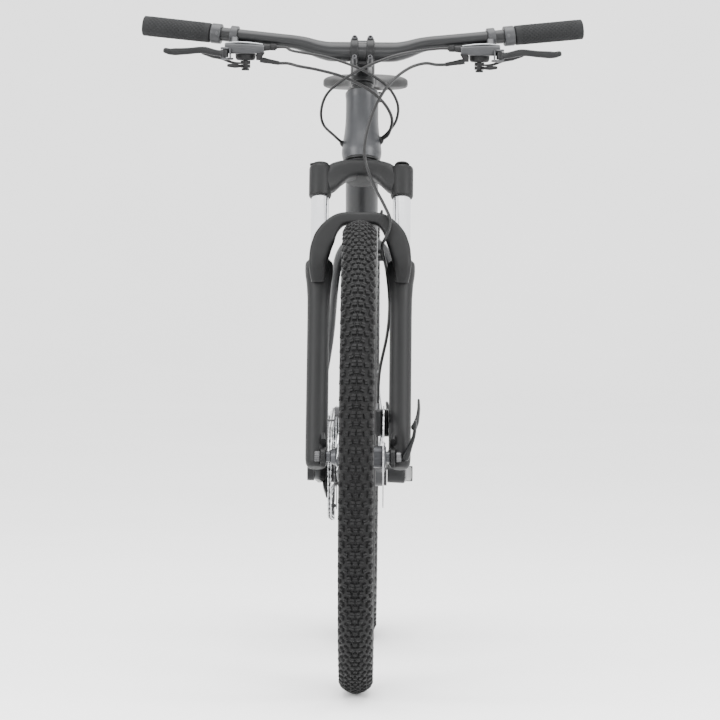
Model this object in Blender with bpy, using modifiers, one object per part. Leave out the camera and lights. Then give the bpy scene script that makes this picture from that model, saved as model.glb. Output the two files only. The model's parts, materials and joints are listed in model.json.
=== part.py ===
"""A hardtail mountain bike with 29 inch wheels, as an assembly of separate pieces.

The bike faces -Y, its left side is +X (the side of the brake discs) and its right
side is -X (the side of the chain).  The origin is on the ground, midway between the
wheels.  Lengths below are millimetres, and every mesh is scaled to metres at the end.
Each piece is one named object.  A moving piece hangs from an empty on its joint's axis.
"""
import math

import bpy
import bmesh
from mathutils import Matrix, Vector

MM = 0.001                # metres in a millimetre
GAP = 0.3                 # clearance between pieces that touch

# --- overall sizes ---------------------------------------------------------------
WHEELBASE = 1120.0        # between the two axles
TYRE_R = 370.0            # radius over the tread
TYRE_W = 60.0             # width over the tread
TYRE_WALL = 3.5           # casing with its tread
BEAD_R = 311.0            # bead seat radius of a 622 mm rim
RIM_W = 30.0              # outer width of the rim
RIM_H = 20.0              # height of the rim's channel
RIM_WALL = 2.2

# --- frame -----------------------------------------------------------------------
HEAD_ANGLE = 69.5         # degrees from the ground
SEAT_ANGLE = 73.5
CHAINSTAY = 440.0         # bottom bracket to rear axle
BB_DROP = 60.0            # bottom bracket below the axles
BB_SHELL_R = 22.0
BB_SHELL_W = 73.0
SEAT_TUBE_L = 460.0
SEAT_TUBE_R = 18.0
HEAD_TUBE_L = 115.0
HEAD_TUBE_R = 26.3
HEAD_BELLY_R = 32.0       # swelling over the lower bearing
DOWN_TUBE_R = 26.5
TOP_TUBE_R = 18.5
TUBE_WALL = 2.5
CHAINSTAY_R = 7.5
SEATSTAY_R = 7.0
DROPOUT_T = 6.5
REAR_OLD = 135.0          # between the rear dropouts
FRONT_OLD = 100.0         # between the fork's dropouts

# --- fork ------------------------------------------------------------------------
FORK_L = 507.9            # axle to crown race, along the steering axis
RAKE = 46.0               # axle in front of the steering axis
LEG_RAKE = 28.0           # leg axes in front of the steering axis
LEG_X = 65.0              # leg axes from the middle plane
FORK_TRAVEL = 100.0
STANCHION_R = 14.0
LEG_R = 17.5              # lower leg, outside
SEAL_R = 22.0             # dust seal collar on the lower leg
LEG_TOP = 328.0           # top of the lower leg above the axle
STANCHION_LOW = LEG_TOP - 158.0
CROWN_LEG_R = 18.0
CROWN_LOW = 438.0         # crown's leg clamps, above the axle
CROWN_HIGH = 490.0
STEERER_R = 14.3
STEERER_TOP = 172.0       # above the crown race

# --- cockpit ---------------------------------------------------------------------
STEM_H = 155.0            # stem's middle above the crown race, along the steerer
STEM_L = 70.0
STEM_RISE = 7.0           # degrees
STEM_HEIGHT = 40.0
BAR_W = 710.0             # over the ends of the grips
BAR_CLAMP_R = 15.9
BAR_R = 11.1
BAR_RISE = 15.0
BAR_UPSWEEP = 26.0        # climb from the bend to the end
BAR_BACKSWEEP = 45.0      # the ends lie this far behind the middle
GRIP_L = 130.0
GRIP_R = 16.2
LEVER_X = 205.0           # lever clamp from the middle

# --- seat ------------------------------------------------------------------------
POST_R = 15.5
POST_TOP_Z = 947.0        # height of the seatpost's clamp
SADDLE_W = 152.0
SADDLE_L = 275.0
SADDLE_TOP_Z = 993.0

# --- drivetrain ------------------------------------------------------------------
CRANK_L = 170.0
CRANK_OUT = 88.0          # outer face of a crank end from the middle plane
CRANK_TILT = 3.0          # degrees that the forward arm points up
LINK = 12.7               # chain pitch
RING_BIG = 36
RING_SMALL = 22
CHAIN_LINE = -52.4
SMALL_RING_LINE = -44.8
COG_TEETH = (11, 13, 15, 18, 21, 24, 28, 32)
COG_FIRST = -62.0         # smallest cog's plane
COG_STEP = 4.8
COG_USED = 15
PULLEY_TEETH = 11
CHAIN_R = 3.4

# --- brakes and spokes -------------------------------------------------------------
ROTOR_R = 80.0
ROTOR_T = 1.9
FRONT_ROTOR_X = 39.7
REAR_ROTOR_X = 52.2
SPOKES = 32
SPOKE_R = 1.1
WHEEL_STEPS = 32

# --- places worked out from the sizes ------------------------------------------------
HEAD = math.radians(HEAD_ANGLE)
UP = Vector((0.0, math.cos(HEAD), math.sin(HEAD)))
REAR = Vector((0.0, math.sin(HEAD), -math.cos(HEAD)))
FRONT_AXLE = Vector((0.0, -WHEELBASE / 2, TYRE_R))
REAR_AXLE = Vector((0.0, WHEELBASE / 2, TYRE_R))
CROWN = FRONT_AXLE + REAR * RAKE + UP * FORK_L
BB = Vector((0.0, REAR_AXLE.y - math.sqrt(CHAINSTAY ** 2 - BB_DROP ** 2), TYRE_R - BB_DROP))
SEAT = math.radians(SEAT_ANGLE)
SEAT_UP = Vector((0.0, math.cos(SEAT), math.sin(SEAT)))
SEAT_TOP = BB + SEAT_UP * SEAT_TUBE_L
HEAD_LOW = 4.0            # head tube's lower face above the crown race
HEAD_HIGH = HEAD_LOW + HEAD_TUBE_L
RISE = math.radians(STEM_RISE)
BAR_MID = CROWN + UP * STEM_H + (-REAR * math.cos(RISE) + UP * math.sin(RISE)) * STEM_L
POST_L = (POST_TOP_Z - SEAT_TOP.z) / SEAT_UP.z
POST_TOP = SEAT_TOP + SEAT_UP * POST_L


def frame_of(origin, x_axis, y_axis, z_axis):
    """A right-handed frame as a matrix, from its origin and its three axes."""
    matrix = Matrix.Identity(4)
    for column, axis in enumerate((x_axis, y_axis, z_axis)):
        for row in range(3):
            matrix[row][column] = axis[row]
    return Matrix.Translation(origin) @ matrix


X, Y, Z = Vector((1, 0, 0)), Vector((0, 1, 0)), Vector((0, 0, 1))
STEER = frame_of(CROWN, X, REAR, UP)               # local z runs up the steerer
SEAT_FRAME = frame_of(BB, X, SEAT_UP.cross(X), SEAT_UP)
FRONT_WHEEL = frame_of(FRONT_AXLE, Y, Z, X)        # local z runs along the axle
REAR_WHEEL = frame_of(REAR_AXLE, Y, Z, X)
CRANK = frame_of(BB, Y, Z, X)


def clear_scene():
    """Empty the scene and make the object's collection."""
    for obj in list(bpy.data.objects):
        bpy.data.objects.remove(obj, do_unlink=True)
    pieces = bpy.data.collections.new("mountain_bike")
    bpy.context.scene.collection.children.link(pieces)
    return pieces


PIECES = clear_scene()
WORLD = {}                # world matrix of each parent, in metres


# --- solids, in millimetres -----------------------------------------------------------
def wrap(mesh):
    """An object for a mesh, in the object's collection."""
    obj = bpy.data.objects.new(mesh.name, mesh)
    PIECES.objects.link(obj)
    return obj


def tidy(mesh, weld=0.0005):
    """Weld coincident corners and turn every face outwards."""
    bm = bmesh.new()
    bm.from_mesh(mesh)
    bmesh.ops.remove_doubles(bm, verts=bm.verts, dist=weld)
    bmesh.ops.dissolve_degenerate(bm, dist=weld, edges=bm.edges)
    bmesh.ops.recalc_face_normals(bm, faces=bm.faces)
    bm.to_mesh(mesh)
    bm.free()


def bake(obj):
    """Replace an object by the plain mesh that its modifiers or curve make."""
    graph = bpy.context.evaluated_depsgraph_get()
    mesh = bpy.data.meshes.new_from_object(obj.evaluated_get(graph))
    tidy(mesh)
    made = wrap(mesh)
    made.matrix_world = obj.matrix_world.copy()
    bpy.data.objects.remove(obj, do_unlink=True)
    return made


def moved(obj, matrix):
    """Move an object's mesh by a matrix."""
    obj.data.transform(matrix)
    if matrix.determinant() < 0:
        obj.data.flip_normals()
    return obj


def rod(a, b, r, r_end=None, sides=20, frame=None):
    """A round rod or cone from a to b."""
    a, b = Vector(a), Vector(b)
    run = b - a
    bm = bmesh.new()
    place = Matrix.Translation((a + b) / 2) @ run.to_track_quat("Z", "Y").to_matrix().to_4x4()
    end = r if r_end is None else r_end
    bmesh.ops.create_cone(bm, cap_ends=True, cap_tris=False, segments=sides,
                          radius1=r, radius2=end, depth=run.length, matrix=place)
    mesh = bpy.data.meshes.new("rod")
    bm.to_mesh(mesh)
    bm.free()
    return moved(wrap(mesh), frame or Matrix.Identity(4))


def box(low, high, frame=None, bevel=0.0):
    """A box from its low corner to its high corner, with its edges bevelled."""
    low, high = Vector(low), Vector(high)
    size = high - low
    bm = bmesh.new()
    place = Matrix.Translation((low + high) / 2) @ Matrix.Diagonal((*size, 1.0))
    bmesh.ops.create_cube(bm, size=1.0, matrix=place)
    if bevel:
        bmesh.ops.bevel(bm, geom=bm.edges[:], offset=bevel, segments=1, affect="EDGES",
                        profile=0.5)
    mesh = bpy.data.meshes.new("box")
    bm.to_mesh(mesh)
    bm.free()
    return moved(wrap(mesh), frame or Matrix.Identity(4))


def turned(profile, frame, steps=24, closed=False):
    """A profile of (radius, height) turned about the frame's z axis."""
    mesh = bpy.data.meshes.new("turned")
    count = len(profile)
    edges = [(i, i + 1) for i in range(count - 1)]
    if closed:
        edges.append((count - 1, 0))
    mesh.from_pydata([(r, 0.0, z) for r, z in profile], edges, [])
    obj = wrap(mesh)
    screw = obj.modifiers.new("turn", "SCREW")
    screw.axis = "Z"
    screw.steps = steps
    screw.render_steps = steps
    screw.use_merge_vertices = True
    screw.merge_threshold = 0.0001
    return moved(bake(obj), frame)


def smooth(points, count):
    """Points evenly stepped on a smooth curve through the given points."""
    pts = [Vector(p) for p in points]
    pts = [2 * pts[0] - pts[1]] + pts + [2 * pts[-1] - pts[-2]]
    spans = len(pts) - 3
    fine = []
    for span in range(spans):
        p0, p1, p2, p3 = pts[span:span + 4]
        for step in range(16):
            t = step / 16
            fine.append(0.5 * (2 * p1 + (p2 - p0) * t + (2 * p0 - 5 * p1 + 4 * p2 - p3) * t * t
                               + (3 * p1 - p0 - 3 * p2 + p3) * t ** 3))
    fine.append(pts[-2])
    far = [0.0]
    for a, b in zip(fine, fine[1:]):
        far.append(far[-1] + (b - a).length)
    out = []
    for i in range(count):
        goal = far[-1] * i / (count - 1)
        j = min(max(k for k, d in enumerate(far) if d <= goal + 1e-9), len(fine) - 2)
        share = (goal - far[j]) / max(far[j + 1] - far[j], 1e-9)
        out.append(fine[j].lerp(fine[j + 1], min(share, 1.0)))
    return out


def sweep(points, radii, detail=2, loop=False, frame=None):
    """A round tube along points, as a filled curve made a mesh."""
    curve = bpy.data.curves.new("sweep", "CURVE")
    curve.dimensions = "3D"
    curve.bevel_depth = 1.0
    curve.bevel_resolution = detail
    curve.use_fill_caps = not loop
    spline = curve.splines.new("POLY")
    spline.points.add(len(points) - 1)
    for i, point in enumerate(points):
        spline.points[i].co = (*point, 1.0)
        if isinstance(radii, (int, float)):
            spline.points[i].radius = radii
        else:
            spline.points[i].radius = radii[i]
    spline.use_cyclic_u = loop
    obj = bpy.data.objects.new("sweep", curve)
    PIECES.objects.link(obj)
    return moved(bake(obj), frame or Matrix.Identity(4))


def plate(outlines, thick, frame):
    """A flat plate from outlines in the frame's xy plane; inner outlines are holes."""
    curve = bpy.data.curves.new("plate", "CURVE")
    curve.dimensions = "2D"
    curve.fill_mode = "BOTH"
    curve.extrude = thick / 2
    for outline in outlines:
        spline = curve.splines.new("POLY")
        spline.points.add(len(outline) - 1)
        for i, (u, v) in enumerate(outline):
            spline.points[i].co = (u, v, 0.0, 1.0)
        spline.use_cyclic_u = True
    obj = bpy.data.objects.new("plate", curve)
    PIECES.objects.link(obj)
    return moved(bake(obj), frame)


def ring_points(r, sides, centre=(0.0, 0.0)):
    """Corners of a circle, for an outline."""
    out = []
    for i in range(sides):
        turn = 2 * math.pi * i / sides
        out.append((centre[0] + r * math.cos(turn), centre[1] + r * math.sin(turn)))
    return out


def combine(kind, base, others, solver="EXACT"):
    """Unite with, or cut by, each of the other solids, which are used up."""
    for other in others:
        step = base.modifiers.new("combine", "BOOLEAN")
        step.operation = kind
        step.solver = solver
        step.object = other
        base = bake(base)
        bpy.data.objects.remove(other, do_unlink=True)
    return base


def unite(base, *others):
    """One closed solid from several that overlap."""
    return combine("UNION", base, others)


def cut(base, *others):
    """The first solid less the others."""
    return combine("DIFFERENCE", base, others)


def mirrored(obj):
    """The same solid on the other side of the middle plane."""
    other = wrap(obj.data.copy())
    return moved(other, Matrix.Diagonal((-1.0, 1.0, 1.0, 1.0)))


# --- materials, joints and finished pieces ----------------------------------------------
MATERIALS = {}
for _name, _colour, _rough, _metal in (
        ("frame_paint", (0.035, 0.037, 0.040, 1), 0.38, 0.3),
        ("fork_paint", (0.016, 0.017, 0.018, 1), 0.42, 0.1),
        ("chrome", (0.72, 0.73, 0.75, 1), 0.12, 1.0),
        ("silver", (0.56, 0.57, 0.58, 1), 0.30, 1.0),
        ("black_alloy", (0.028, 0.029, 0.031, 1), 0.36, 0.5),
        ("steel", (0.42, 0.42, 0.43, 1), 0.32, 1.0),
        ("tyre_rubber", (0.013, 0.013, 0.014, 1), 0.78, 0.0),
        ("grip_rubber", (0.035, 0.036, 0.038, 1), 0.72, 0.0),
        ("black_plastic", (0.020, 0.020, 0.021, 1), 0.48, 0.0),
        ("grey_cover", (0.22, 0.23, 0.24, 1), 0.34, 0.6),
        ("cable_skin", (0.012, 0.012, 0.013, 1), 0.40, 0.0),
        ("saddle_cover", (0.016, 0.016, 0.017, 1), 0.60, 0.0)):
    _material = bpy.data.materials.new(_name)
    _material.use_nodes = True
    _shader = _material.node_tree.nodes["Principled BSDF"]
    _shader.inputs["Base Color"].default_value = _colour
    _shader.inputs["Roughness"].default_value = _rough
    _shader.inputs["Metallic"].default_value = _metal
    MATERIALS[_name] = _material


def in_metres(matrix):
    """A frame in millimetres as a frame in metres."""
    out = matrix.copy()
    out.translation = matrix.translation * MM
    return out


def attach(obj, matrix, parent):
    """Place an object in the world under its parent."""
    world = in_metres(matrix)
    if parent:
        obj.parent = bpy.data.objects[parent]
        obj.matrix_basis = WORLD[parent].inverted() @ world
    else:
        obj.matrix_basis = world
    WORLD[obj.name] = world


def joint(name, matrix, parent=None):
    """An empty on a joint's axis."""
    empty = bpy.data.objects.new(name, None)
    empty.empty_display_size = 0.03
    PIECES.objects.link(empty)
    attach(empty, matrix, parent)
    return empty


def piece(name, obj, material, matrix, parent=None):
    """Name a finished solid, give it its own axes and its material, and hang it."""
    obj.data.transform(matrix.inverted())
    obj.data.transform(Matrix.Scale(MM, 4))
    obj.name = name
    obj.data.name = name
    obj.data.materials.clear()
    own = MATERIALS[material].copy()
    own.name = name + "_" + material
    obj.data.materials.append(own)
    attach(obj, matrix, parent)
    return obj


# --- wheels ---------------------------------------------------------------------------
def tyre(wheel):
    """A tyre as a casing that is open at its beads."""
    half = TYRE_W / 2
    deep = TYRE_R - BEAD_R
    seat = RIM_W / 2 - RIM_WALL - GAP - 0.1
    outer = [(BEAD_R - 7, seat), (BEAD_R + 7, seat), (max(BEAD_R + 0.19 * deep, BEAD_R + 9.5), half * 0.73),
             (BEAD_R + 0.50 * deep, half), (BEAD_R + 0.80 * deep, half * 0.87),
             (TYRE_R - 1.0, half * 0.40)]
    wall = TYRE_WALL
    inner = [(TYRE_R - 2.5 - wall, half * 0.36), (BEAD_R + 0.55 * deep, half - wall - 0.5),
             (outer[2][0] + wall, half * 0.73 - 0.83 * wall), (BEAD_R + 8, seat - wall),
             (BEAD_R - 7, seat - wall)]
    profile = outer + [(TYRE_R, 0.0)] + [(r, -z) for r, z in reversed(outer)]
    profile += [(r, -z) for r, z in reversed(inner)] + inner
    return turned(profile, wheel, WHEEL_STEPS, closed=True)


def rim(wheel):
    """A rim as a channel that opens to the tyre."""
    top = BEAD_R + 6
    low = BEAD_R - RIM_H + 1
    half = RIM_W / 2
    wall = RIM_WALL
    outer = [(low, half - 6), (low + 8, half), (top, half)]
    inner = [(top, half - wall), (low + 9, half - wall), (low + wall + 0.2, half - 7)]
    profile = outer + inner
    profile += [(r, -z) for r, z in reversed(inner)] + [(r, -z) for r, z in reversed(outer)]
    return turned(profile, wheel, WHEEL_STEPS, closed=True)


def hub(wheel, left, right, profile):
    """A hub with its spokes; left and right are its flanges' places."""
    body = turned(profile, wheel, 14)
    facet = math.pi / WHEEL_STEPS
    flat = (BEAD_R - RIM_H + 1) * math.cos(facet)
    wires = bpy.data.collections.new("spokes")
    for i in range(SPOKES):
        side = left if i % 2 == 0 else right
        lean = 1 if (i // 2) % 2 == 0 else -1
        away = 1 if side > 0 else -1
        turn = 2 * math.pi * i / SPOKES
        start = turn - lean * math.radians(62)
        reach = flat / math.cos(turn % (2 * facet) - facet) - GAP
        a = Vector((26.0 * math.cos(start), 26.0 * math.sin(start), side + lean * 1.3))
        b = Vector((reach * math.cos(turn), reach * math.sin(turn), away * 2.5))
        wire = rod(a, b, SPOKE_R, sides=3, frame=wheel)
        PIECES.objects.unlink(wire)
        wires.objects.link(wire)
    step = body.modifiers.new("spokes", "BOOLEAN")
    step.operation = "UNION"
    step.solver = "EXACT"
    step.operand_type = "COLLECTION"
    step.collection = wires
    body = bake(body)
    for wire in list(wires.objects):
        bpy.data.objects.remove(wire, do_unlink=True)
    bpy.data.collections.remove(wires)
    return body


def rotor(wheel, place):
    """A brake disc with open windows between its arms."""
    outlines = [ring_points(ROTOR_R, 30), ring_points(18.5, 14)]
    for arm in range(5):
        window = []
        start = math.radians(arm * 72 + 8)
        stop = math.radians(arm * 72 + 64)
        for r, a, b in ((ROTOR_R - 16, start, stop), (30.0, stop - 0.12, start + 0.12)):
            for k in range(3):
                turn = a + (b - a) * k / 2
                window.append((r * math.cos(turn), r * math.sin(turn)))
        outlines.append(window)
    at = wheel @ Matrix.Translation((0, 0, place))
    return plate(outlines, ROTOR_T, at)


def skewer(wheel, half, left_head):
    """A quick-release skewer with its nut and its cam head."""
    face = half + GAP
    body = rod((0, 0, -face - 6), (0, 0, face + 6), 2.5, sides=10, frame=wheel)
    nut = rod((0, 0, -face - 9), (0, 0, -face), 8.5, sides=12, frame=wheel)
    head = rod((0, 0, face), (0, 0, face + left_head), 8.5, sides=12, frame=wheel)
    return unite(body, nut, head)


def quick_lever(wheel, start, tip):
    """A quick-release lever from the cam head to its tip."""
    points = smooth([start, start + Vector((0.0, 12.0, 4.0)), tip - Vector((0.0, 16.0, 2.0)), tip], 8)
    return sweep(points, [6.5, 6.0, 5.0, 4.6, 4.6, 5.2, 5.4, 4.0], 2, frame=wheel)


# --- fork -----------------------------------------------------------------------------
def at_leg(side, up):
    """A point on a leg's axis, in the steering frame, above the axle."""
    return Vector((side * LEG_X, -LEG_RAKE, up - FORK_L))


def crown_steerer():
    """The fork crown with the steerer and the spacer under the stem."""
    front = frame_of(Vector((0, -LEG_RAKE / 2, 0)), X, Z, -Y)
    half = [(0, -1.5), (28, -2.5), (44, -10), (50, -19.5), (LEG_X + 4, -20), (LEG_X + 4, -66),
            (LEG_X - 8, -66), (LEG_X - 19, -52), (30, -37), (0, -31)]
    outline = half + [(-u, v) for u, v in reversed(half[1:-1])]
    body = plate([outline], 34.0, front)
    body = unite(body, rod((0, 0, -32), (0, 0, 0), 25.5, sides=18))
    for side in (-1, 1):
        leg = rod(at_leg(side, CROWN_LOW), at_leg(side, CROWN_HIGH), CROWN_LEG_R, sides=18)
        body = unite(body, leg)
        bore = rod(at_leg(side, CROWN_LOW - 9), at_leg(side, CROWN_HIGH - 4), STANCHION_R + GAP,
                   sides=18)
        body = cut(body, bore)
    body = unite(body, rod((0, 0, -10), (0, 0, STEERER_TOP), STEERER_R, sides=18))
    spacer = rod((0, 0, HEAD_HIGH + 5.3), (0, 0, STEM_H - STEM_HEIGHT / 2 - GAP), 17.5, sides=18)
    return moved(unite(body, spacer), STEER)


def fork_lowers():
    """Both lower legs with the arch, the dropouts and the brake mount."""
    front = frame_of(Vector((0, -LEG_RAKE - 28, -FORK_L)), X, Z, -Y)
    half = [(0, 402), (30, 402), (50, 390), (LEG_X + 12, 345), (LEG_X + 16, 322),
            (LEG_X + 14, 296), (LEG_X - 12, 292), (LEG_X - 22, 330), (37, 362), (26, 383), (0, 383)]
    outline = half + [(-u, v) for u, v in reversed(half[1:-1])]
    body = plate([outline], 16.0, front)
    for side in (-1, 1):
        leg = rod(at_leg(side, -12), at_leg(side, LEG_TOP - 6), LEG_R, sides=18)
        body = unite(body, leg, rod(at_leg(side, LEG_TOP - 14), at_leg(side, LEG_TOP), SEAL_R,
                                    SEAL_R - 2, sides=18))
        link = box((min(side * (LEG_X - 4), side * (LEG_X + 14)), -LEG_RAKE - 24, 292 - FORK_L),
                   (max(side * (LEG_X - 4), side * (LEG_X + 14)), -LEG_RAKE, 312 - FORK_L))
        body = unite(body, link)
        inner = side * (FRONT_OLD / 2 + GAP)
        outer = side * (FRONT_OLD / 2 + GAP + 8)
        drop = rod((inner, -RAKE, -FORK_L), (outer, -RAKE, -FORK_L), 13.0, sides=20)
        web = box((min(inner, outer), -RAKE - 6, -FORK_L - 11),
                  (max(inner, outer), -LEG_RAKE, -FORK_L + 26))
        body = unite(body, drop, web)
    mount = box((FRONT_ROTOR_X + 7.6, -LEG_RAKE, 44 - FORK_L), (LEG_X - 6, -LEG_RAKE + 36, 84 - FORK_L))
    body = unite(body, mount)
    clear = FRONT_OLD / 2 + GAP
    body = cut(body, rod((-clear, -RAKE, -FORK_L), (clear, -RAKE, -FORK_L), 24.0, sides=18))
    for side in (-1, 1):
        outer = side * (FRONT_OLD / 2 + GAP + 8)
        body = cut(body, rod((outer, -RAKE, -FORK_L), (side * (LEG_X + 30), -RAKE, -FORK_L), 12.0,
                             sides=20))
        body = cut(body, rod(at_leg(side, STANCHION_LOW - FORK_TRAVEL - 10), at_leg(side, LEG_TOP + 5),
                             STANCHION_R + GAP, sides=18))
    hole = rod((-LEG_X - 30, -RAKE, -FORK_L), (LEG_X + 30, -RAKE, -FORK_L), 2.9, sides=10)
    body = cut(body, hole)
    return moved(body, STEER)


def caliper(place, disc_x, low, high, behind=False):
    """A brake caliper that straddles the disc, with its hose fitting."""
    body = box((disc_x - 13.5, low[0], low[1]), (disc_x + 7.3, high[0], high[1]), bevel=2.0)
    near = low[0] + 7 if behind else low[0] - 30
    far = high[0] + 30 if behind else high[0] - 7
    slot = box((disc_x - 1.5, near, low[1] - 30), (disc_x + 1.5, far, high[1] + (30 if behind else -7)))
    body = cut(body, slot)
    fitting = rod((disc_x - 9.5, high[0] - 8, high[1] - 4), (disc_x - 9.5, high[0] - 8, high[1] + 9),
                  3.6, sides=12)
    return moved(unite(body, fitting), place)


# --- cockpit --------------------------------------------------------------------------
STEM_DIR = -REAR * math.cos(RISE) + UP * math.sin(RISE)
STEM_FRAME = frame_of(BAR_MID, X, -STEM_DIR, UP * math.cos(RISE) + REAR * math.sin(RISE))
BAR_FRAME = Matrix.Translation(BAR_MID)
BEND = Vector((110.0, 2.0, BAR_RISE))
BAR_END = Vector((BAR_W / 2, BAR_BACKSWEEP, BAR_RISE + BAR_UPSWEEP))
BAR_DIR = (BAR_END - BEND).normalized()


def bar_at(x):
    """A point on the bar's straight end, from the bar's middle."""
    return BEND + BAR_DIR * ((x - BEND.x) / BAR_DIR.x)


def bar_path(end):
    """Half of the bar's centre line with its radius at each point."""
    return [((0, 0, 0), BAR_CLAMP_R), ((44, 0, 0), BAR_CLAMP_R), ((58, 0.2, 1.2), 15.2),
            ((74, 0.7, 5.2), 13.8), ((92, 1.3, 11.2), 12.2), (BEND, BAR_R),
            (bar_at(130.0), BAR_R), (end, BAR_R)]


def handlebar():
    """The bent bar, hollow and open at both ends."""
    solids = []
    for thinner, end_x in ((0.0, BAR_W / 2 - 2.0), (2.3, BAR_W / 2 + 6.0)):
        half = bar_path(bar_at(end_x))
        run = [((-p[0], p[1], p[2]), r) for p, r in reversed(half[1:])] + half
        solids.append(sweep([p for p, r in run], [r - thinner for p, r in run], 3))
    return moved(cut(solids[0], solids[1]), BAR_FRAME)


def stem():
    """The stem, with its rear half of the bar clamp."""
    low = STEM_H - STEM_HEIGHT / 2
    body = moved(rod((0, 0, low), (0, 0, low + STEM_HEIGHT), 19.5, sides=18), STEER)
    arm = rod(CROWN + UP * STEM_H, BAR_MID, 17.0, 15.0, sides=16)
    clamp = rod((-20, 0, 0), (20, 0, 0), 21.5, sides=24, frame=STEM_FRAME)
    body = unite(body, arm, clamp)
    body = cut(body, moved(rod((0, 0, low - 5), (0, 0, low + STEM_HEIGHT + 5), STEERER_R + GAP,
                               sides=18), STEER))
    body = cut(body, box((-30, -40, -30), (30, -GAP / 2, 30), frame=STEM_FRAME))
    bore = rod((-30, 0, 0), (30, 0, 0), BAR_CLAMP_R + GAP, sides=24, frame=STEM_FRAME)
    return cut(body, bore)


def faceplate():
    """The front half of the bar clamp: two straps with their bolts."""
    body = rod((-20, 0, 0), (20, 0, 0), 21.5, sides=24, frame=STEM_FRAME)
    for x in (-12.5, 12.5):
        for z in (-17.8, 17.8):
            bolt = rod((x, -17.5, z), (x, -3.0, z), 4.6, 5.6, sides=12, frame=STEM_FRAME)
            body = unite(body, bolt)
    body = cut(body, box((-30, -GAP / 2, -40), (30, 40, 40), frame=STEM_FRAME))
    body = cut(body, box((-6, -40, -12.5), (6, 10, 12.5), frame=STEM_FRAME))
    bore = rod((-30, 0, 0), (30, 0, 0), BAR_CLAMP_R + GAP, sides=24, frame=STEM_FRAME)
    return cut(body, bore)


def grip():
    """A closed-end grip on the bar's left end."""
    inner = BAR_W / 2 - GRIP_L
    body = rod(bar_at(inner), bar_at(inner + 17), GRIP_R, sides=20)
    body = unite(body, rod(bar_at(inner + 16.5), bar_at(BAR_W / 2), GRIP_R - 0.7, GRIP_R + 0.3,
                           sides=20))
    bore = rod(bar_at(inner - 4), bar_at(BAR_W / 2 - 2.0 + GAP), BAR_R + GAP, sides=16)
    return moved(cut(body, bore), BAR_FRAME)


# The lever unit is laid out from the bar's point at its clamp.
UNIT = bar_at(LEVER_X)
PIVOT = UNIT + Vector((15.0, -36.0, -30.0))
POD = UNIT + Vector((-18.0, -9.0, -29.0))


def lever_body():
    """The lever clamp with the brake cylinder, its pivot lugs and the shifter pod."""
    body = rod(UNIT - BAR_DIR * 6, UNIT + BAR_DIR * 6, 15.5, sides=16)
    body = unite(body, box(UNIT + Vector((-7, -24, -26)), UNIT + Vector((6, -8, -8))))
    cylinder = rod(UNIT + Vector((-49, -31, -22)), UNIT + Vector((14, -25, -21)), 9.0, 9.5, sides=12)
    body = unite(body, cylinder)
    lug = box(PIVOT + Vector((-10, -8, -10.5)), PIVOT + Vector((8, 14, 10.5)))
    body = unite(body, lug)
    body = unite(body, rod(POD + Vector((0, 0, -11)), POD + Vector((0, 0, 12)), 16.5, sides=16))
    barrel = rod(UNIT + Vector((-69, -31, -19)), UNIT + Vector((-46, -29, -20)), 4.4, 5.4, sides=12)
    body = unite(body, barrel)
    body = unite(body, box(UNIT + Vector((-46, -31, -44)), UNIT + Vector((-28, -16, -24))))
    relief = rod(UNIT + Vector((-73, -26, -44.5)), UNIT + Vector((-42, -24, -39)), 3.4, 4.6, sides=12)
    body = unite(body, relief)
    body = unite(body, rod(POD + Vector((0, 0, -24)), POD + Vector((0, 0, -8)), 4.0, sides=12))
    body = unite(body, rod(POD + Vector((0, 0, -27)), POD + Vector((0, 0, -23.2)), 6.5, sides=12))
    gap = box(PIVOT + Vector((-8.5, -20, -6.4)), PIVOT + Vector((20, 8, 6.4)))
    body = cut(body, gap)
    body = unite(body, rod(PIVOT + Vector((0, 0, -8)), PIVOT + Vector((0, 0, 8)), 2.0, sides=10))
    body = cut(body, rod(UNIT - BAR_DIR * 14, UNIT + BAR_DIR * 14, BAR_R + GAP, sides=16))
    return moved(body, BAR_FRAME)


def brake_lever():
    """The brake lever blade with its hub."""
    blade = smooth([PIVOT + Vector(p) for p in ((2, -1, 0), (14, -5, 1), (34, -7, 5), (60, -5, 3),
                                                (84, -5, 2), (95, -8, 4))], 10)
    body = sweep(blade, [4.6, 4.8, 5.0, 4.8, 4.6, 4.8, 5.2, 5.4, 5.2, 4.2], 2)
    body = unite(body, rod(PIVOT + Vector((0, 0, -6.0)), PIVOT + Vector((0, 0, 6.0)), 6.5, sides=16))
    body = cut(body, rod(PIVOT + Vector((0, 0, -9)), PIVOT + Vector((0, 0, 9)), 2.4, sides=10))
    return moved(body, BAR_FRAME)


def paddle(low, high, points, radii):
    """A shift paddle with its hub on the pod's spindle."""
    body = rod(POD + Vector((0, 0, low)), POD + Vector((0, 0, high)), 8.0, sides=12)
    body = unite(body, sweep([POD + Vector(p) for p in points], radii, 2))
    body = cut(body, rod(POD + Vector((0, 0, low - 8)), POD + Vector((0, 0, high + 1.2)), 4.5,
                         sides=12))
    return moved(body, BAR_FRAME)


def thumb_paddle():
    """The lower paddle that the thumb pushes."""
    points = smooth([(4, 1, -15.5), (22, 8, -14), (44, 13, -5), (68, 11, 2)], 7)
    return paddle(-17.0, -11.4, points, [1.3, 2.2, 2.6, 3.2, 5.5, 7.0, 5.0])


def release_trigger():
    """The upper trigger that the finger pulls."""
    points = smooth([(3, -4, -20.2), (12, -18, -20.5), (26, -26, -20)], 5)
    return paddle(-22.8, -17.4, points, [1.8, 2.0, 2.4, 3.6, 3.0])


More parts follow.
